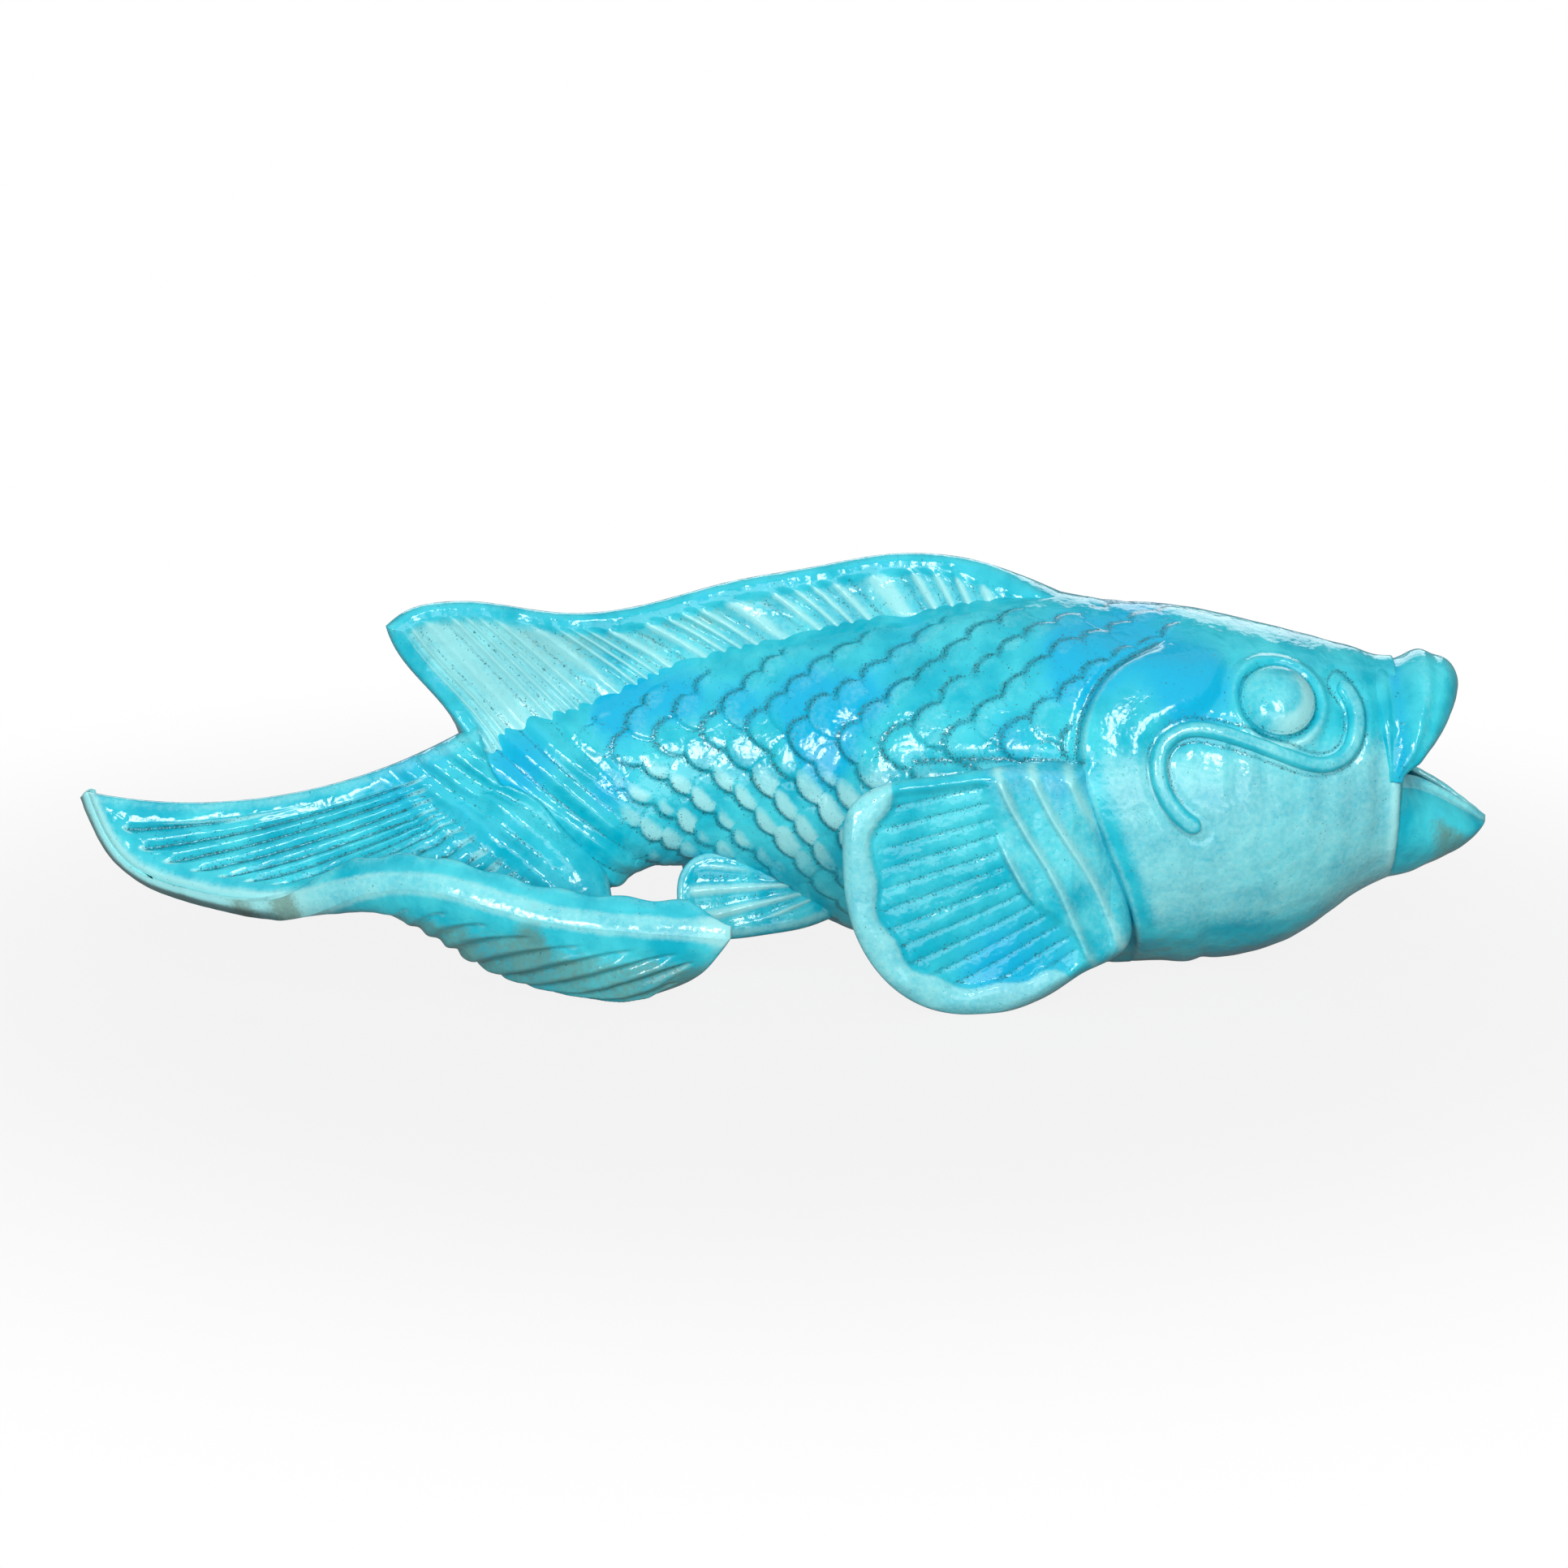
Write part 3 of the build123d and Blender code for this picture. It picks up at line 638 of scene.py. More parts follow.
def closed_sheet(name, front, back, glaze, nodes):
    """Mesh of two grids of one size whose last row and both end columns are shared at the rim."""
    rows, columns = front.shape[:2]
    near = np.arange(rows * columns).reshape(rows, columns)
    far = near + rows * columns
    far[-1], far[:, 0], far[:, -1] = near[-1], near[:, 0], near[:, -1]

    def quads(index, flip):
        corners = [index[:-1, :-1], index[:-1, 1:], index[1:, 1:], index[1:, :-1]]
        return np.stack(corners[::-1] if flip else corners, axis=-1).reshape(-1, 4)

    root = np.stack([near[0, :-1], far[0, :-1], far[0, 1:], near[0, 1:]], axis=-1)[1:-1]
    faces = np.concatenate([quads(near, False), quads(far, True), root])
    return two_faced(name, front, back, faces, glaze, nodes)


def closed_disc(name, front, back, glaze, nodes):
    """Mesh of two polar grids, closed round, joined at the rim and drawn to a point in the middle."""
    rows, columns = front.shape[:2]
    near = np.arange(rows * columns).reshape(rows, columns)
    far = near + rows * columns
    far[-1] = near[-1]
    near[0], far[0] = near[0, 0], far[0, 0]

    def cells(index, flip):
        ahead = np.roll(index, -1, axis=1)
        a, b, c, d = index[:-1], ahead[:-1], ahead[1:], index[1:]
        both = [np.stack([a, c, d], axis=-1), np.stack([a, b, c], axis=-1)[1:]]
        faces = np.concatenate([part.reshape(-1, 3) for part in both])
        return faces[:, ::-1] if flip else faces

    faces = np.concatenate([cells(near, False), cells(far, True)])
    return two_faced(name, front, back, faces, glaze, nodes)


def sheet_rim(middle):
    """Points round the free rim of a sheet: one end column, the last row and the other end column."""
    return np.concatenate([middle[::6, 0], middle[-1, ::2], middle[::-6, -1]])


# Tail rays from the upper leading edge round to the lower one: root, bend and edge.
TAIL_RAYS = np.array([
    ((-72.0, -4.2, 58.0), (-118.1, -5.0, 31.5), (-165.0, -1.0, 40.5)),
    ((-69.6, -4.5, 50.0), (-109.9, -8.0, 31.0), (-155.0, -9.0, 24.6)),
    ((-66.7, -5.2, 43.2), (-100.0, -13.0, 26.5), (-137.0, -17.0, 18.8)),
    ((-63.4, -5.8, 40.7), (-88.1, -18.0, 24.5), (-117.0, -25.0, 18.8)),
    ((-59.4, -6.5, 36.4), (-80.7, -30.4, 12.6), (-98.0, -32.0, 25.3)),
    ((-55.4, -7.2, 32.1), (-71.5, -36.4, -6.2), (-77.9, -38.5, 27.4)),
    ((-51.5, -7.8, 27.8), (-56.6, -40.8, -12.6), (-57.1, -43.0, 22.6)),
    ((-47.5, -8.5, 23.5), (-37.5, -44.0, -13.6), (-33.0, -46.0, 20.0)),
    ((-43.6, -9.1, 19.2), (-28.0, -41.0, -4.6), (-11.9, -44.0, 18.2)),
])
# Radius of the tail's rounded rim, rays to each step between the rays above, and thin brown spots.
TAIL_RIM = 1.5
TAIL_RAYS_TO_STEP = 3.0
TAN_SPOTS = [(-126, 20), (-115, 19), (-57, 18)]


def tail_sheet(rows, columns, face_rows):
    """Middle surface of the tail, then rows for the broad face of its lower rim; also ray numbers."""
    share = rim_spaced(rows)[:, None, None]
    a = evenly_at_ends(columns) * (len(TAIL_RAYS) - 1)
    rays = natural_spline(np.arange(len(TAIL_RAYS)), TAIL_RAYS, a)
    root, bend, edge = (rays[None, :, k] for k in range(3))
    middle = root * (1 - share) ** 2 + bend * 2 * share * (1 - share) + edge * share**2
    wide = 0.6 + (6.4 + 0.5 * np.cos(a * 11)) * smooth(a, 2.8, 4.0) * (1 - smooth(a, 7.5, 8.0))
    face = wide[None, :, None] * np.array([0.0, 0.8, 0.6])
    steps = np.linspace(0, 1, face_rows + 1)[1:, None, None]
    return np.concatenate([middle, edge + face * steps]), a, edge[0]


def build_tail():
    """Tail: a curved fan whose lower lobe scoops under, with raised rays inside a smooth margin."""
    rows, columns, face_rows = 190, 560, 17
    middle, a, edge = tail_sheet(rows, columns, face_rows)
    out = grid_normals(middle, False)
    if out[60, 120, 2] < 0:
        out = -out
    ridge_gap, _ = nearest(middle, edge[::2])
    rim_gap, _ = nearest(middle, sheet_rim(middle))
    gap = np.minimum(ridge_gap, rim_gap)
    reach = np.linalg.norm(middle - middle[:1], axis=2)
    a = a[None, :] + 0 * reach
    on_face = np.arange(rows + face_rows)[:, None] >= rows
    outward = np.concatenate([rim_spaced(rows), np.ones(face_rows)])[:, None]
    across = np.clip(a / (len(TAIL_RAYS) - 1), 0, 1)
    fleshy = 5.0 * (1 - smooth(reach, 0, 26)) * np.sin(across * math.pi) ** 0.6
    fade = round_rim(rim_gap, TAIL_RIM, 2.6)
    half = (3.1 + fleshy) * fade

    # Rays, wider apart on the flat upper lobe and slanted under the scoop, dying out at the margin.
    scoop = smooth(a, 3.4, 4.4) * smooth(np.broadcast_to(outward, a.shape), 0.45, 0.7)
    number = a * TAIL_RAYS_TO_STEP + scoop * (ridge_gap * 0.22 - a * 0.9)
    turn = number - 0.5 - np.round(number - 0.5)
    wave = np.cos(number * 2 * math.pi)
    inside = smooth(gap - 0.9 * wave, 4.6, 7.0) * smooth(reach, 12, 24) * ~on_face
    line = np.exp(-((turn / 0.13) ** 2))
    main = bump(a - np.round(a), 0, 0.2) * (1 - scoop)
    ray = (0.40 + 0.5 * scoop * smooth(a, 4.4, 5.6) - 0.1 * scoop) * wave
    ray = ray + 0.5 * main - 0.3 * line * (1 - scoop)
    margin = 0.5 * bump(gap, 3.6, 2.4)
    folds = (1 - smooth(reach, 14, 30)) * (1 - smooth(a, 5.5, 7)) * root_ridges(middle)
    uneven = 0.22 * wobble(middle, 14.0, 21) + 0.10 * wobble(middle, 5.0, 22)
    top = inside * (ray - 0.15) + margin + uneven + 0.7 * folds
    under = inside * (ray - 0.1) + 0.4 * margin + uneven
    front = middle + out * (half + top * fade)[..., None]
    back = middle - out * (half + under * fade)[..., None]

    groove = line * inside * (0.8 - 0.4 * scoop) + 0.5 * smooth(-folds, 0.5, 1.0)
    field = 0.25 * inside * (1 - scoop)
    blue = 0.42 * bump(reach, 18, 15) + 0.22 * bump(middle[..., 0], -95, 12) * smooth(gap, 14, 6)
    thin_and_highlight = 0.75 * bump(ridge_gap, 0.4, 1.5) + 0.45 * bump(rim_gap, 1.5, 2.5)
    thin_and_highlight = thin_and_highlight + 0.15 * inside * (1 - scoop) * main
    # Pale spots where the rays end at the margin: painted highlights.
    thin_and_highlight = thin_and_highlight + 0.6 * inside * (1 - inside) * 4 * smooth(-turn * turn, -0.1, -0.02)
    spot_gaps = [np.hypot(middle[..., 0] - x, middle[..., 2] - z) for x, z in TAN_SPOTS]
    tan_spots = sum(bump(spot_gap, 0, 4.0) for spot_gap in spot_gaps)
    # Clay brown over the scoop under the lower lobe: painted shade. The tan spots are thinned glaze.
    clay_and_shade = 0.85 * scoop * smooth(ridge_gap, 3, 9)
    glaze = ((groove + field, groove), (blue, blue * 0.5), (thin_and_highlight, thin_and_highlight * 0.8), (clay_and_shade, clay_and_shade + 1.2 * tan_spots))
    closed_sheet("tail_fan", front, back, glaze, ("tail_fin",))


# Dorsal fin from its front end to its rear one: crest and base in side view, and its path in plan.
DORSAL_CREST = [
    (71.0, 84.4), (56.1, 90.9), (44.6, 94.6), (34.7, 95.8), (25.4, 95.6), (6.6, 92.3), (-12.5, 89.0),
    (-31.7, 84.0), (-50.8, 82.4), (-62.0, 84.4), (-71.0, 86.3), (-80.5, 86.8), (-88.0, 85.2), (-92.4, 82.0),
]
DORSAL_BASE = [
    (70.0, 78.0), (44.6, 76.0), (6.6, 69.4), (-32.0, 56.0), (-51.0, 49.0), (-67.0, 44.0), (-74.5, 46.0),
]
DORSAL_PLAN = [
    (82.5, 4.0), (64.0, 6.0), (39.9, 9.0), (15.8, 11.0), (-5.0, 10.6), (-28.1, 9.4), (-52.1, 4.8),
    (-79.9, -4.0), (-99.0, -10.8),
]
DORSAL_RIM = 1.7
DORSAL_RAYS = 30


def dorsal_sheet(rows, columns):
    """Middle surface of the dorsal fin, its shares along the base and up, and its height."""
    place = np.linspace(0, 1, 400)

    def sampled(line, at):
        path = path_through([(x, 0.0, z) for x, z in line], len(place))
        return np.stack([np.interp(at, place, path[:, k]) for k in range(3)], axis=1)

    c = evenly_at_ends(columns)
    low, high = sampled(DORSAL_BASE, c), sampled(DORSAL_CREST, 1 - (1 - c) ** 1.5)
    t = rim_spaced(rows)[:, None, None]
    middle = low * (1 - t) + high * t
    rise = t[..., 0]
    hollow = np.sin(rise * math.pi) * np.cos(rise * 0.72 * math.pi)
    middle[..., 0] += 4.8 * smooth(c, 0.8, 1.0) * hollow
    plan = np.array(DORSAL_PLAN)[::-1]
    fine_x = np.linspace(plan[0, 0], plan[-1, 0], 300)
    fine_y = natural_spline(plan[:, 0], plan[:, 1], fine_x)
    middle[..., 1] = np.interp(middle[..., 0], fine_x, fine_y)
    return middle, c[None, :], rise, np.linalg.norm(high - low, axis=1)[None, :] * rise


def build_dorsal():
    """Dorsal fin: a wall along the back with slanted rays under a smooth crest."""
    middle, c, rise, height = dorsal_sheet(130, 620)
    out = grid_normals(middle, False)
    if out[60, 300, 1] > 0:
        out = -out
    gap, _ = nearest(middle, sheet_rim(middle))
    foot = 3.4 * (1 - smooth(height, 8, 20))
    fade = round_rim(gap, DORSAL_RIM, 2.4)
    half = (2.1 + foot + 1.6 * (1 - rise)) * fade
    number = c * DORSAL_RAYS + 0.4 * np.sin(c * 40) + 0 * gap
    turn = number - np.round(number)
    clear = smooth(height, 7.5, 10.5)
    inside = clear * smooth(gap, 2.6, 6.0)
    ray = 0.35 * np.cos(number * 2 * math.pi) + 0.5 * bump(turn, 0, 0.15)
    uneven = 0.18 * wobble(middle, 11.0, 31) + 0.08 * wobble(middle, 4.0, 32)
    relief = inside * (ray - 0.15) + 0.4 * bump(gap, 3.2, 1.8) + uneven
    moved = out * (half + relief * fade)[..., None]

    groove = 0.6 * inside * np.exp(-(((0.5 - np.abs(turn)) / 0.14) ** 2))
    upper = smooth(gap, 22, 6)
    ridge = bump(turn, 0, 0.16) * upper
    behind = smooth(-middle[..., 0], -14, 16) * smooth(middle[..., 0], -78, -60)
    # The ray field is paler, part thinned glaze and part painted reflection, with painted highlights on the
    # ray tops near the crest.
    thin_and_highlight = inside * (0.42 + 0.7 * ridge) + 0.3 * bump(clear, 0.5, 0.3)
    thin_and_highlight = thin_and_highlight + 0.28 * smooth(-middle[..., 0], 40, 62)
    clay_and_shade = 0.5 * inside * (1 - ridge) * upper * behind
    blue = 0.25 * (1 - clear) + 0.35 * bump(gap, 2.0, 2.5)
    glaze = [(values, values) for values in (groove, blue, thin_and_highlight, clay_and_shade)]
    closed_sheet("dorsal_crest", middle + moved, middle - moved, glaze, ("dorsal_fin",))


# Paired fins in side view.
PECTORAL_OUTLINE = [
    (70.0, 54.0), (52.1, 56.0), (33.7, 54.6), (21.8, 53.2), (15.2, 49.0), (13.2, 37.6), (14.2, 26.1),
    (19.2, 13.6), (26.7, 5.3), (34.6, 1.1), (43.2, -0.4), (52.5, -0.4), (62.4, 2.4), (69.5, 6.4),
    (75.5, 8.6), (79.4, 12.0), (79.8, 19.0), (77.6, 28.0), (74.2, 38.0), (71.6, 47.0),
]
# Plan of the right fins: place along the fish, their middle, and the pectoral fin's half thickness.
PECTORAL_PLAN = [
    (15.8, -48.8, 2.8), (28.0, -46.4, 3.1), (41.9, -43.6, 3.2), (46.0, -42.4, 3.6), (50.2, -40.8, 4.3),
    (54.0, -38.4, 5.8), (58.0, -36.0, 7.2), (62.0, -34.4, 8.1), (67.0, -33.0, 8.3), (75.9, -30.0, 6.0),
]
PELVIC_OUTLINE = [
    (11.2, 10.1), (12.5, 17.1), (2.0, 22.5), (-9.9, 26.1), (-18.2, 26.8), (-23.8, 23.4), (-25.1, 16.2),
    (-22.4, 9.2), (-15.2, 7.0), (-3.3, 7.4), (5.9, 8.5),
]
PELVIC_PLAN = [(-28.0, -11.6), (-24.1, -10.5), (-7.9, -6.4), (5.0, -3.2), (15.2, -0.8)]
# Upright edge of the pectoral fin's fleshy root: height and place along the fish.
PECTORAL_ROOT = [(6, 66), (12, 68.5), (18, 65.5), (28, 54.5), (42, 49.3), (55, 44.5)]
# Plane between the left and the right fins.
PAIR_MIDDLE = 7.52


def fin_disc(outline, centre, rows, columns):
    """Polar grid in side view from a centre out to an outline, closer toward the rim."""
    closed = [*outline, outline[0]]
    loop = path_through([(x, 0.0, z) for x, z in closed], columns + 1)[:-1]
    t = rim_spaced(rows)[:, None, None]
    return np.array([centre[0], 0.0, centre[1]]) * (1 - t) + loop[None] * t, loop


def seen_flat(points):
    """Points in side view."""
    return points * (1.0, 0.0, 1.0)


def mirrored(points, side):
    """Points of the right fin, or of its mirror image on the left."""
    if side == RIGHT:
        return points
    other = points.copy()
    other[..., 1] = 2 * PAIR_MIDDLE - other[..., 1]
    return other


PECTORAL_RIM = 3.2
# Point that the pectoral rays fan from, along the fish and up, their first angle and the angle between.
PECTORAL_FAN = (185.0, 75.0, 9.4, 1.55)


def pectoral_relief(middle, gap, margin_gap, margin_place):
    """Height and glaze of the pectoral fin's outer face: margin, sunken field of rays, folded root."""
    x, z = middle[..., 0], middle[..., 2]
    # The rays fan from a point far ahead of the gill, in a field that the root covers at its upper end.
    fan_x, fan_z, first, apart = PECTORAL_FAN
    number = (np.degrees(np.arctan2(fan_z - z, fan_x - x)) - first) / apart
    line = np.exp(-(((number - np.round(number)) / 0.19) ** 2)) * smooth(x, 19, 26)
    edge = np.array(PECTORAL_ROOT, float)
    root_edge = natural_spline(edge[:, 0], edge[:, 1], z.ravel()).reshape(z.shape)
    root = smooth(x - root_edge, -2.2, 2.2)
    margin = 7.0 + 0.7 * np.sin(margin_place * 31)
    field = smooth(margin_gap, margin - 1.0, margin + 1.2) * smooth(gap, 1.5, 4.0) * (1 - root)
    across = ((x - 62) + (z - 30) * 0.52 + 0.8 * np.sin(z / 6.0)) / 8.2
    fold = bump(across - np.round(across), 0, 0.14)
    height = -1.3 * field - 0.22 * field * line + 0.7 * bump(margin_gap, margin - 2.6, 2.6) * (1 - root)
    height = height + root * smooth(gap, 1, 5) * (1.5 * fold - 0.2)
    height = height + 0.25 * wobble(middle, 15.0, 41) + 0.08 * wobble(middle, 5.0, 42)

    groove = 0.62 * field * line + 0.25 * field * (1 - smooth(margin_gap, margin, margin + 3))
    low_rays = bump(np.hypot(x - 53, (z - 11) * 1.2), 0, 15)
    blue = 0.65 * low_rays * (1 - 0.6 * fold * root) + 0.15 * field
    blue = blue + 0.6 * root * (1 - fold) * smooth(z, 38, 54)
    thin_and_highlight = 0.6 * (1 - smooth(margin_gap, margin - 0.5, margin + 0.8)) * (1 - root)
    thin_and_highlight = thin_and_highlight + root * (0.42 + 0.3 * fold) * (1 - low_rays) + 0.25 * field * (1 - low_rays)
    return height, (groove, blue, thin_and_highlight)


def build_pectoral(side, name, node):
    """Pectoral fin: a broad pad, a raised margin round a sunken field of rays, folds on its fleshy root."""
    middle, loop = fin_disc(PECTORAL_OUTLINE, (58.0, 28.0), 190, 520)
    plan = np.array(PECTORAL_PLAN)
    x = middle[..., 0]
    middle[..., 1] = np.interp(x, plan[:, 0], plan[:, 1]) + (middle[..., 2] - 30) * 0.1
    gap, _ = nearest(seen_flat(middle), loop)
    free_edge = loop[(loop[:, 2] < 51.5) & (loop[:, 0] < 62)]
    height, (groove, blue, thin_and_highlight) = pectoral_relief(middle, gap, *nearest(seen_flat(middle), free_edge))
    out = unit(np.array([-0.2, -1.0, 0.1]))
    fade = round_rim(gap, PECTORAL_RIM)
    half = (np.interp(x, plan[:, 0], plan[:, 2]) - 0.2) * fade
    front = middle + out * (half + height * fade)[..., None]
    inner_height = 0.35 * height + 0.2 * wobble(middle, 17.0, 43)
    back = middle - out * (half + inner_height * fade)[..., None]
    glaze = ((groove, 0.3 * groove), (blue, blue * 0.6), (thin_and_highlight, thin_and_highlight * 0.5))
    closed_disc(name, mirrored(front, side), mirrored(back, side), glaze, (node,))


PELVIC_RIM = 2.5
# Point that the pelvic rays fan from, along the fish and up, and the angle between them.
PELVIC_FAN = (18.0, 18.0, 9.5)


def build_pelvic(side, name, node):
    """Pelvic fin: a small fan under the belly with raised rays."""
    middle, loop = fin_disc(PELVIC_OUTLINE, (-6.0, 16.0), 110, 300)
    x, z = middle[..., 0], middle[..., 2]
    plan = np.array(PELVIC_PLAN)
    middle[..., 1] = np.interp(x, plan[:, 0], plan[:, 1]) + (z - 14) * 0.36
    gap, _ = nearest(seen_flat(middle), loop)
    out = unit(np.array([-0.26, -0.93, 0.33]))
    fade = round_rim(gap, PELVIC_RIM)
    half = (2.5 + 0.8 * smooth(x, -6, 12)) * fade
    fan_x, fan_z, apart = PELVIC_FAN
    number = np.degrees(np.arctan2(fan_z - z, fan_x - x)) / apart
    turn = number - np.round(number)
    field = smooth(gap, 2.5, 5.0) * (1 - smooth(x, 3, 11))
    ridge = bump(turn, 0, 0.2)
    relief = field * (0.9 * ridge - 0.3) + 0.2 * wobble(middle, 9.0, 51)
    moved = out * (half + relief * fade)[..., None]
    groove = field * 0.45 * bump(np.abs(turn), 0.45, 0.12)
    blue = np.full(x.shape, 0.1)
    thin_and_highlight = 0.25 + field * ridge * 0.8 + 0.35 * bump(gap, 1.2, 1.0)
    glaze = [(values, values) for values in (groove, blue, thin_and_highlight)]
    closed_disc(name, mirrored(middle + moved, side), mirrored(middle - moved, side), glaze, (node,))


# Mouth, eyes and whiskers

def build_tube(name, loops, glaze, nodes):
    """Mesh of closed loops one after another, drawn to a point past both ends."""
    first, last = loops[:1].mean(axis=1, keepdims=True), loops[-1:].mean(axis=1, keepdims=True)
    start = [first + (loops[:1] - first) * share for share in (0.02, 0.5, 0.85)]
    end = [last + (loops[-1:] - last) * share for share in (0.85, 0.5, 0.02)]
    rings = np.concatenate([*start, loops, *end])
    data = [np.pad(values, ((len(start), len(end)), (0, 0)), mode="edge") for values in glaze]
    write_mesh(name, rings, grid_faces(len(rings), rings.shape[1], True), data, nodes)


# Upper lip in the middle of the fish: its profile from the head over the roll and back inside, as
# lengths along the slope of the lip and out from it.
LIP_PROFILE = [
    (0.0, 0.0), (2.6, 1.0), (5.4, 3.6), (8.0, 5.3), (10.8, 5.2), (13.4, 5.4), (16.3, 4.2), (18.5, 1.4),
    (18.7, -1.2), (16.6, -3.9), (12.0, -5.2), (6.0, -6.0), (-1.0, -6.6), (-4.0, -3.4), (-2.4, -0.4),
]
# Length of that profile, which each place round the arch stretches to its own.
LIP_PROFILE_LENGTH = 18.7
# Rim of the upper lip from its right end to the middle.
LIP_RIM = [
    (145.4, -18.2, 47.2), (146.4, -17.2, 49.8), (150.2, -14.2, 54.2), (154.6, -10.0, 60.0),
    (157.2, -5.0, 64.8), (157.9, 0.0, 66.2),
]


def build_lip():
    """Upper lip: a rolled arch over the mouth, deepest in the middle."""
    rows, columns = 260, 150
    rim = path_through([*LIP_RIM, *[(x, -y, z) for x, y, z in LIP_RIM[-2::-1]]], rows)
    a = np.linspace(-1, 1, rows)
    lean = math.pi / 2 * a
    root = np.stack([140.9 + 0 * a, 19.7 * np.sin(lean), 47.5 + 24.6 * np.cos(lean) ** 0.9], axis=1)
    slope = rim - root
    length = np.linalg.norm(slope, axis=1) * (1 - 0.45 * smooth(np.abs(a), 0.84, 1.0))
    slope = unit(slope)
    arch = unit(np.stack([0 * a, np.cos(lean), -np.sin(lean)], axis=1))
    off = unit(np.cross(slope, arch))
    if off[rows // 2, 2] < 0:
        off = -off
    closed = [*LIP_PROFILE, LIP_PROFILE[0]]
    profile = path_through([(s, 0.0, u) for s, u in closed], columns + 1)[:-1]
    thickness = (0.50 + 0.50 * np.cos(lean) ** 0.8) * (1 - 0.75 * smooth(np.abs(a), 0.8, 1.0))
    s = profile[None, :, 0] * (length / LIP_PROFILE_LENGTH)[:, None]
    u = profile[None, :, 2] * thickness[:, None]
    loops = root[:, None] + slope[:, None] * s[..., None] + off[:, None] * u[..., None]
    out = grid_normals(loops, True)
    if out[rows // 2, 30, 2] < 0:
        out = -out
    loops = loops + out * (0.22 * wobble(loops, 9.0, 61) + 0.06 * wobble(loops, 3.5, 62))[..., None]
    outer = (np.arange(columns) < columns * 0.5)[None, :] * np.ones((rows, 1))
    groove = 0.35 * outer * bump(s, 1.8, 0.8)
    blue = 0.55 * outer * bump(s, 1.5, 2.0) + 0.1
    thin_and_highlight = 0.35 * outer * (bump(s, 7.0, 2.6) + bump(s, 14.0, 1.8))
    build_tube("upper_lip_roll", loops, (groove, blue, thin_and_highlight), ("upper_lip",))


# Lower jaw along the fish: half width, height of its rim, and height of its keel.
JAW_PLAN = [
    (139.0, 20.2), (142.9, 19.6), (150.2, 16.9), (157.7, 12.6), (162.5, 8.6), (165.4, 4.4), (166.5, 0.2),
]
JAW_RIM = [(139.0, 48.6), (142.9, 48.2), (146.8, 46.8), (156.7, 41.6), (162.1, 37.9), (166.4, 34.8)]
JAW_KEEL = [(139.0, 18.8), (142.0, 19.4), (149.7, 21.9), (157.3, 25.5), (163.6, 30.0), (166.4, 33.6)]
JAW_WALL, JAW_FLOOR, JAW_RIM_ROUND = 4.2, 4.8, 1.4


def jaw_sections(half, foot, crown, gather, share):
    """Open cross-sections of the jaw, left rim to right, gathered toward the middle at their rims."""
    sections = []
    for h, f, c, g in zip(half, foot, crown, gather):
        rise = f + (c - f) * 0.45
        side = bezier(np.array([(-h * g, f), (-h * (1.6 - 0.6 * g), rise), (-h * 0.56, c), (0, c)]), share)
        sections.append(np.concatenate([side, side[-2::-1] * (-1, 1)]))
    return np.array(sections)


def rim_arc(start, end, turn):
    """Rounded rim from the end of one face to the start of the other."""
    centre, spread = (start + end) / 2, (start - end) / 2
    over = np.array([0, JAW_RIM_ROUND]) * np.sin(turn)[None, :, None]
    return centre[:, None] + spread[:, None] * np.cos(turn)[None, :, None] + over


def build_jaw():
    """Lower jaw: an open scoop with a rounded rim that narrows to a blunt tip."""
    plan = path_through([(x, y, 0.0) for x, y in JAW_PLAN], 150)
    x, half = plan[:, 0], np.maximum(plan[:, 1], 0.2)
    rim = natural_spline(*np.array(JAW_RIM).T, x)
    keel = natural_spline(*np.array(JAW_KEEL).T, x)
    share = np.linspace(0, 1, 60)
    turn = np.linspace(0, math.pi, 9)[1:-1]
    gather = 0.40 + 0.52 * (1 - smooth(x, 140, 151))
    foot = rim - JAW_RIM_ROUND
    outer = jaw_sections(half, foot, keel, gather, share)
    inner_half = np.maximum(half - JAW_WALL, 0.12)
    inner = jaw_sections(inner_half, foot, np.minimum(keel + JAW_FLOOR, rim - 1.2), gather, share)[:, ::-1]
    right_rim, left_rim = rim_arc(outer[:, -1], inner[:, 0], turn), rim_arc(inner[:, -1], outer[:, 0], turn)
    section = np.concatenate([outer, right_rim, inner, left_rim], axis=1)
    loops = np.stack([x[:, None] + 0 * section[..., 0], section[..., 0], section[..., 1]], axis=2)
    out = grid_normals(loops, True)
    if out[40, 60, 2] > 0:
        out = -out
    loops = loops + out * (0.22 * wobble(loops, 10.0, 71) + 0.06 * wobble(loops, 4.0, 72))[..., None]

    count = outer.shape[1]
    place = np.arange(loops.shape[1])[None, :] + 0 * loops[..., 0]
    at_rim = (place >= count - 3) & (place <= count + 9) | (place >= 2 * count + 4) | (place < 3)
    inside = (place > count + 8) & (place < 2 * count + 6)
    below = smooth(rim[:, None] - loops[..., 2], 4, 9) * smooth(loops[..., 0], 148, 156)
    blue = np.full(place.shape, 0.12)
    build_tube("lower_jaw_scoop", loops, (0.25 * inside, blue, 0.55 * at_rim, 0.9 * below), ("lower_jaw",))


EYE_RADIUS, EYE_LIFT, EYE_DEPTH = 8.7, 3.9, 2.5


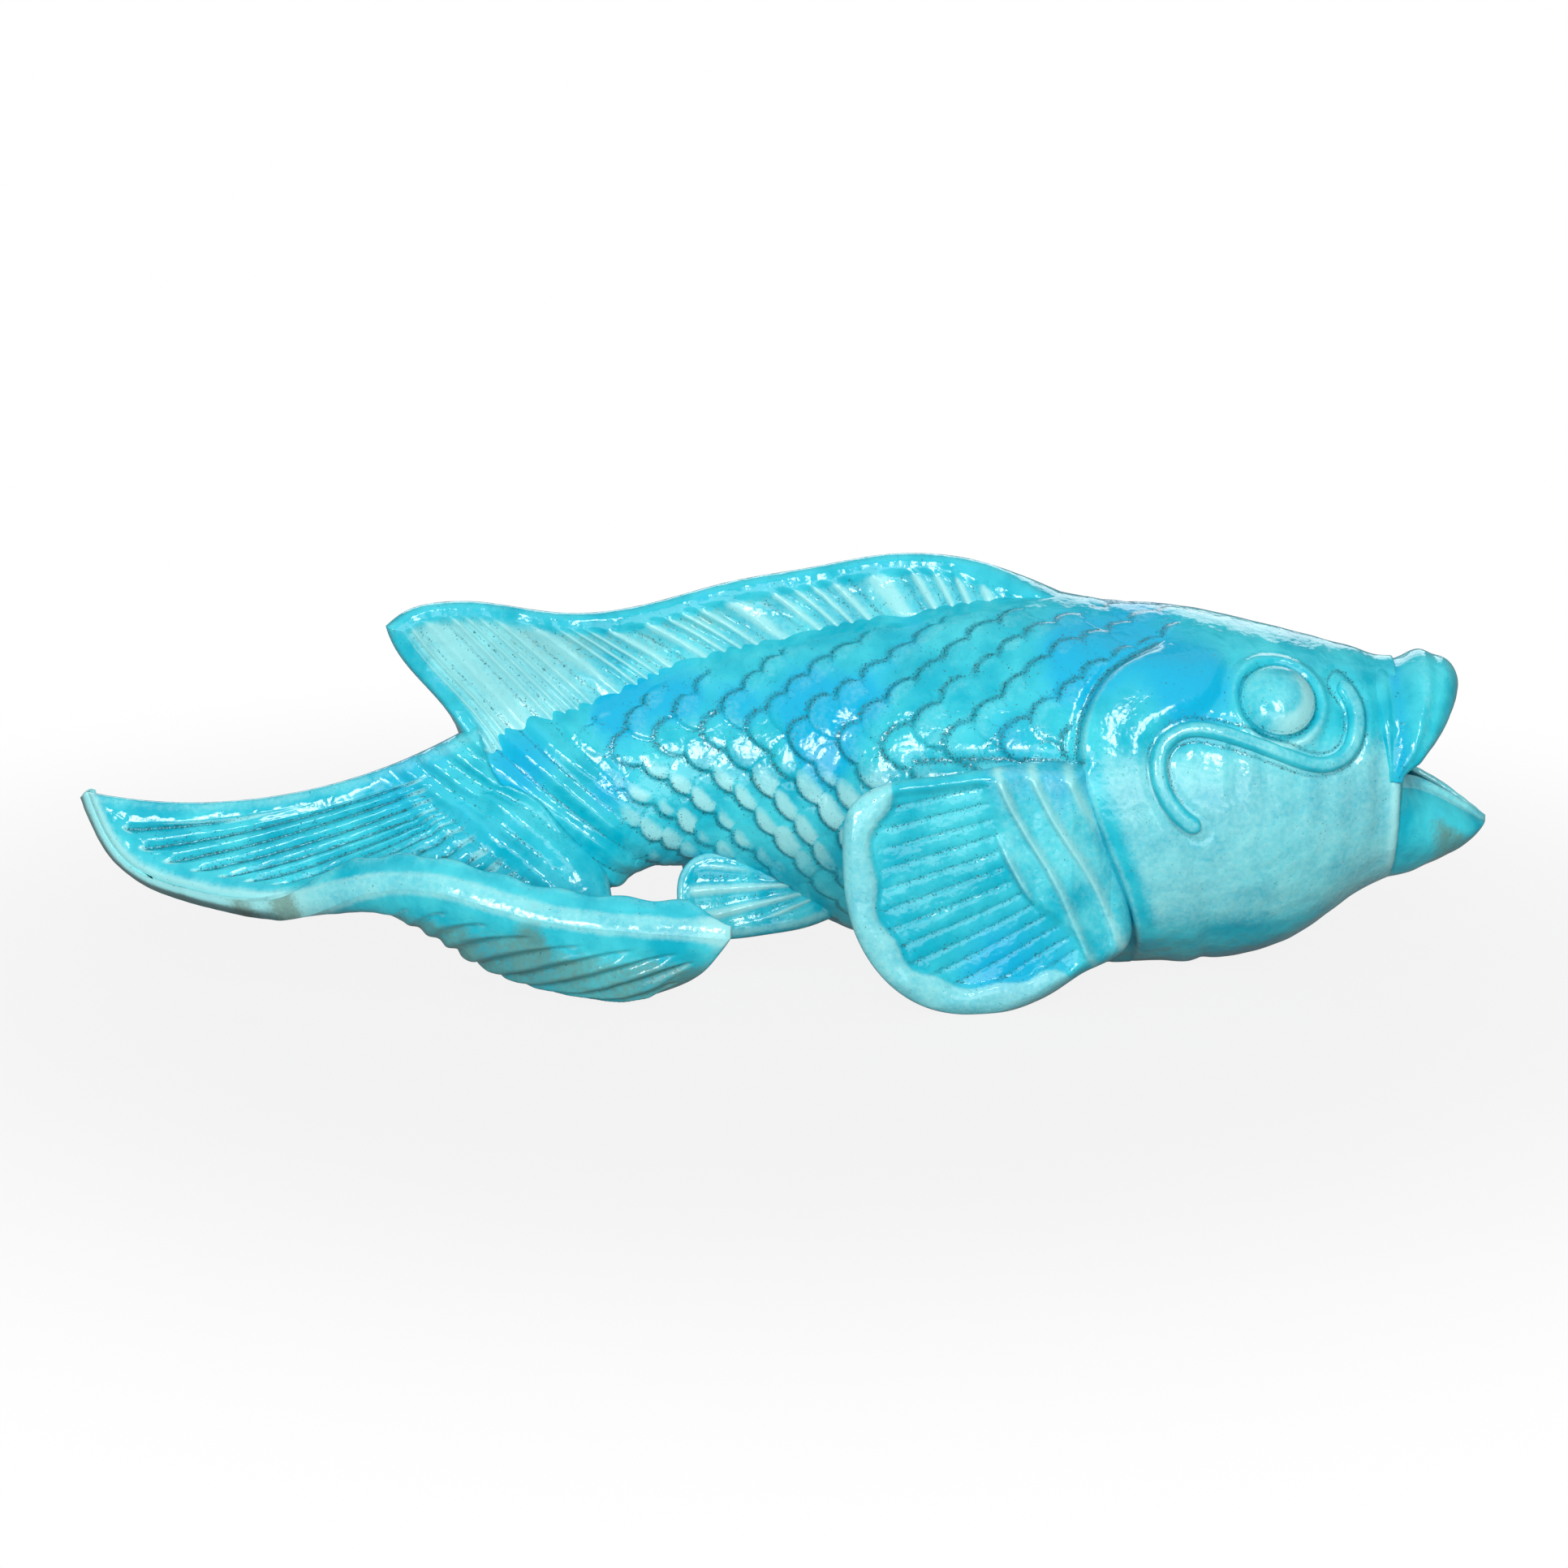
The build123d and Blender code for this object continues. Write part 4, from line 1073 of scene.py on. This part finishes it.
def build_eye(side, name, node):
    """Eye: a round button standing off the head, with a painted pale crescent of reflection on its lower
    front.
    """
    centre, _ = on_skin(*EYE_SIDE, side)
    tilt, turn = math.radians(36.0), math.radians(10.0)
    reach = math.cos(tilt)
    facing = np.array([reach * math.sin(turn), side * reach * math.cos(turn), math.sin(tilt)])
    e1 = unit(np.cross(facing, np.array([0.0, 0.0, 1.0])))
    e2 = np.cross(facing, e1)
    r = EYE_RADIUS * np.linspace(0, 1, 90)[:, None]
    angle = np.linspace(0, 2 * math.pi, 160, endpoint=False)[None, :]
    share = r / EYE_RADIUS + 0 * angle
    flat = centre + e1 * (r * np.cos(angle))[..., None] + e2 * (r * np.sin(angle))[..., None]
    front = flat + facing * (EYE_LIFT * (1 - share**2.6) ** 0.9)[..., None]
    back = flat - facing * (EYE_DEPTH * (1 - share**4))[..., None]
    front = front + facing * (0.07 * wobble(front, 5.0, 81) * (1 - share**4))[..., None]
    groove = 0.5 * bump(r, 8.2, 0.5) + 0 * angle
    blue = 0.2 * bump(r, 3.0, 2.5) + 0 * angle
    # The pale crescent on the lower front is a painted reflection.
    thin_and_highlight = 0.42 + 0.45 * smooth(r, 3.5, 6.5) * smooth(np.cos(angle - 2.6), -0.2, 0.8)
    glaze = [(values, 0 * values) for values in (groove, blue, thin_and_highlight)]
    closed_disc(name, front, back, glaze, (node,))


def build_whisker(side, name, node):
    """Whisker: a rounded band curling down the cheek."""
    spots, outs = zip(*(on_skin(x, z, side) for x, z in WHISKER_SIDE))
    path = path_through(spots, 240)
    run = along(spots)
    length = along(path)
    normal = unit(natural_spline(run, np.array(outs), length / length[-1] * run[-1]))
    forward = unit(np.gradient(path, axis=0))
    across = unit(np.cross(normal, forward))
    taper = round_rim(np.minimum(length, length[-1] - length) + 0.02, 2.4)[:, None]
    angle = np.linspace(0, 2 * math.pi, 48, endpoint=False)[None, :]
    thick = np.interp(length / length[-1], (0, 0.3, 0.7, 1), (2.2, 1.8, 1.9, 2.1))[:, None]
    wide = thick * np.sign(np.cos(angle)) * np.abs(np.cos(angle)) ** 0.8 * taper
    high = np.where(np.sin(angle) > 0, 1.7, 1.2) * np.sin(angle) * (0.55 + 0.45 * taper)
    high = high + 0.12 * np.sin(length / 9.0)[:, None]
    loops = path[:, None] + across[:, None] * wide[..., None] + normal[:, None] * high[..., None]
    thin_and_highlight = 0.5 * smooth(np.sin(angle), 0.5, 1.0) * taper
    groove = 0.5 * bump(np.sin(angle), 0.1, 0.25) * taper
    build_tube(name, loops, (groove, 0.1 + 0 * groove, thin_and_highlight), (node,))


# Surroundings, lamps, floor and camera

def seen_white(tree):
    """1 for camera rays and through glass, a little for reflections, which see the surroundings white."""
    rays = tree.node("ShaderNodeLightPath")
    kinds = ("Is Camera Ray", "Is Glossy Ray", "Is Transmission Ray")
    camera, glossy, glass = (rays.beside(kind) for kind in kinds)
    return tree.math("MINIMUM", camera + 0.12 * glossy + glass, 1.0)


def place_facing(name, data, place, aim):
    """An object at a place, with its view or light toward another place, upright."""
    item = bpy.data.objects.new(name, data)
    bpy.context.collection.objects.link(item)
    item.location = place
    gap = np.array(aim) - np.array(place)
    flat = math.hypot(gap[0], gap[1])
    item.rotation_euler = (math.atan2(flat, -gap[2]), 0.0, math.atan2(-gap[0], gap[1]))
    return item


# Soft lamps in metres and watts: place, aim, width and height, power.
LAMPS = {
    "window_left": ((-0.40, -1.20, 0.50), (0, 0, 0.04), (0.30, 0.30), 6.0),
    "window_right": ((0.45, -1.15, 0.80), (0, 0, 0.04), (0.28, 0.34), 6.0),
    "ceiling": ((0.0, -0.2, 1.30), (0, 0, 0.0), (2.6, 2.2), 8.0),
    "front": ((0.0, -1.5, 0.22), (0, 0, 0.03), (1.7, 0.6), 8.5),
    "behind": ((0.0, 1.6, 0.9), (0, 0, 0.04), (1.6, 0.9), 11.0),
}


def build_light():
    """White surroundings for what the camera sees, dim ones for the shading, and soft lamps."""
    world = bpy.data.worlds.new("surroundings")
    bpy.context.scene.world = world
    world.use_nodes = True
    t = Tree(world.node_tree)
    seen = seen_white(t)
    plain = t.node("ShaderNodeBackground", {"Color": (0.80, 0.86, 0.90, 1), "Strength": 0.10})
    white = t.node("ShaderNodeBackground", {"Color": (1, 1, 1, 1), "Strength": 1.0})
    both = t.node("ShaderNodeMixShader", {0: seen, 1: plain, 2: white})
    t.node("ShaderNodeOutputWorld", {"Surface": both})
    for name, (place, aim, (wide, high), power) in LAMPS.items():
        data = bpy.data.lights.new(name, "AREA")
        data.shape, data.size, data.size_y, data.energy = "RECTANGLE", wide, high, power
        place_facing(name, data, place, aim)


def build_floor():
    """White paper floor that keeps the soft shadow of the figure and fades to plain white."""
    size = 1.6
    mesh = bpy.data.meshes.new("floor")
    corners = [(-size, -size, 0), (size, -size, 0), (size, size, 0), (-size, size, 0)]
    mesh.from_pydata(corners, [], [(0, 1, 2, 3)])
    floor = bpy.data.objects.new("floor", mesh)
    bpy.context.collection.objects.link(floor)
    paper = bpy.data.materials.new("paper")
    paper.use_nodes = True
    t = Tree(paper.node_tree)
    where = t.node("ShaderNodeTexCoord", out="Object")
    tone = t.mix(t.noise(where, 40.0, 4.0), (0.22, 0.22, 0.22, 1), (0.26, 0.26, 0.26, 1))
    matt = {"Base Color": tone, "Roughness": 0.9, "Specular IOR Level": 0.0}
    surface = t.node("ShaderNodeBsdfPrincipled", matt)
    glow = t.node("ShaderNodeEmission", {"Color": (1, 1, 1, 1), "Strength": 1.0})
    far = t.node("ShaderNodeVectorMath", {0: where}, {"operation": "LENGTH"}, out=1).over(0.14, 0.34)
    white = seen_white(t) * (0.87 + 0.13 * far)
    both = t.node("ShaderNodeMixShader", {0: white, 1: surface, 2: glow})
    t.node("ShaderNodeOutputMaterial", {"Surface": both})
    mesh.materials.append(paper)


def build_camera():
    """Camera at the photograph's angle, above the side of the fish."""
    rise = math.radians(RISE_DEGREES)
    target = (np.array([0.0, 0.0, CAMERA_AIM]) + SHIFT) * MM
    place = target + np.array([0.0, -math.cos(rise), math.sin(rise)]) * CAMERA_FAR * MM
    data = bpy.data.cameras.new("photo_camera")
    data.sensor_width = 36.0
    data.lens = PER_MM * CAMERA_FAR * data.sensor_width / PHOTO
    data.clip_start, data.clip_end = 0.05, 10.0
    bpy.context.scene.camera = place_facing("photo_camera", data, place, target)


build_body()
build_tail()
build_dorsal()
build_lip()
build_jaw()
for side, hand in ((RIGHT, "right"), (LEFT, "left")):
    build_pectoral(side, f"pectoral_pad_{hand}", f"pectoral_fin_{hand}")
    build_pelvic(side, f"pelvic_pad_{hand}", f"pelvic_fin_{hand}")
    build_eye(side, f"eye_dome_{hand}", f"eye_{hand}")
    build_whisker(side, f"whisker_band_{hand}", f"whisker_{hand}")
build_light()
build_floor()
build_camera()
bpy.context.scene.view_settings.view_transform = "Standard"
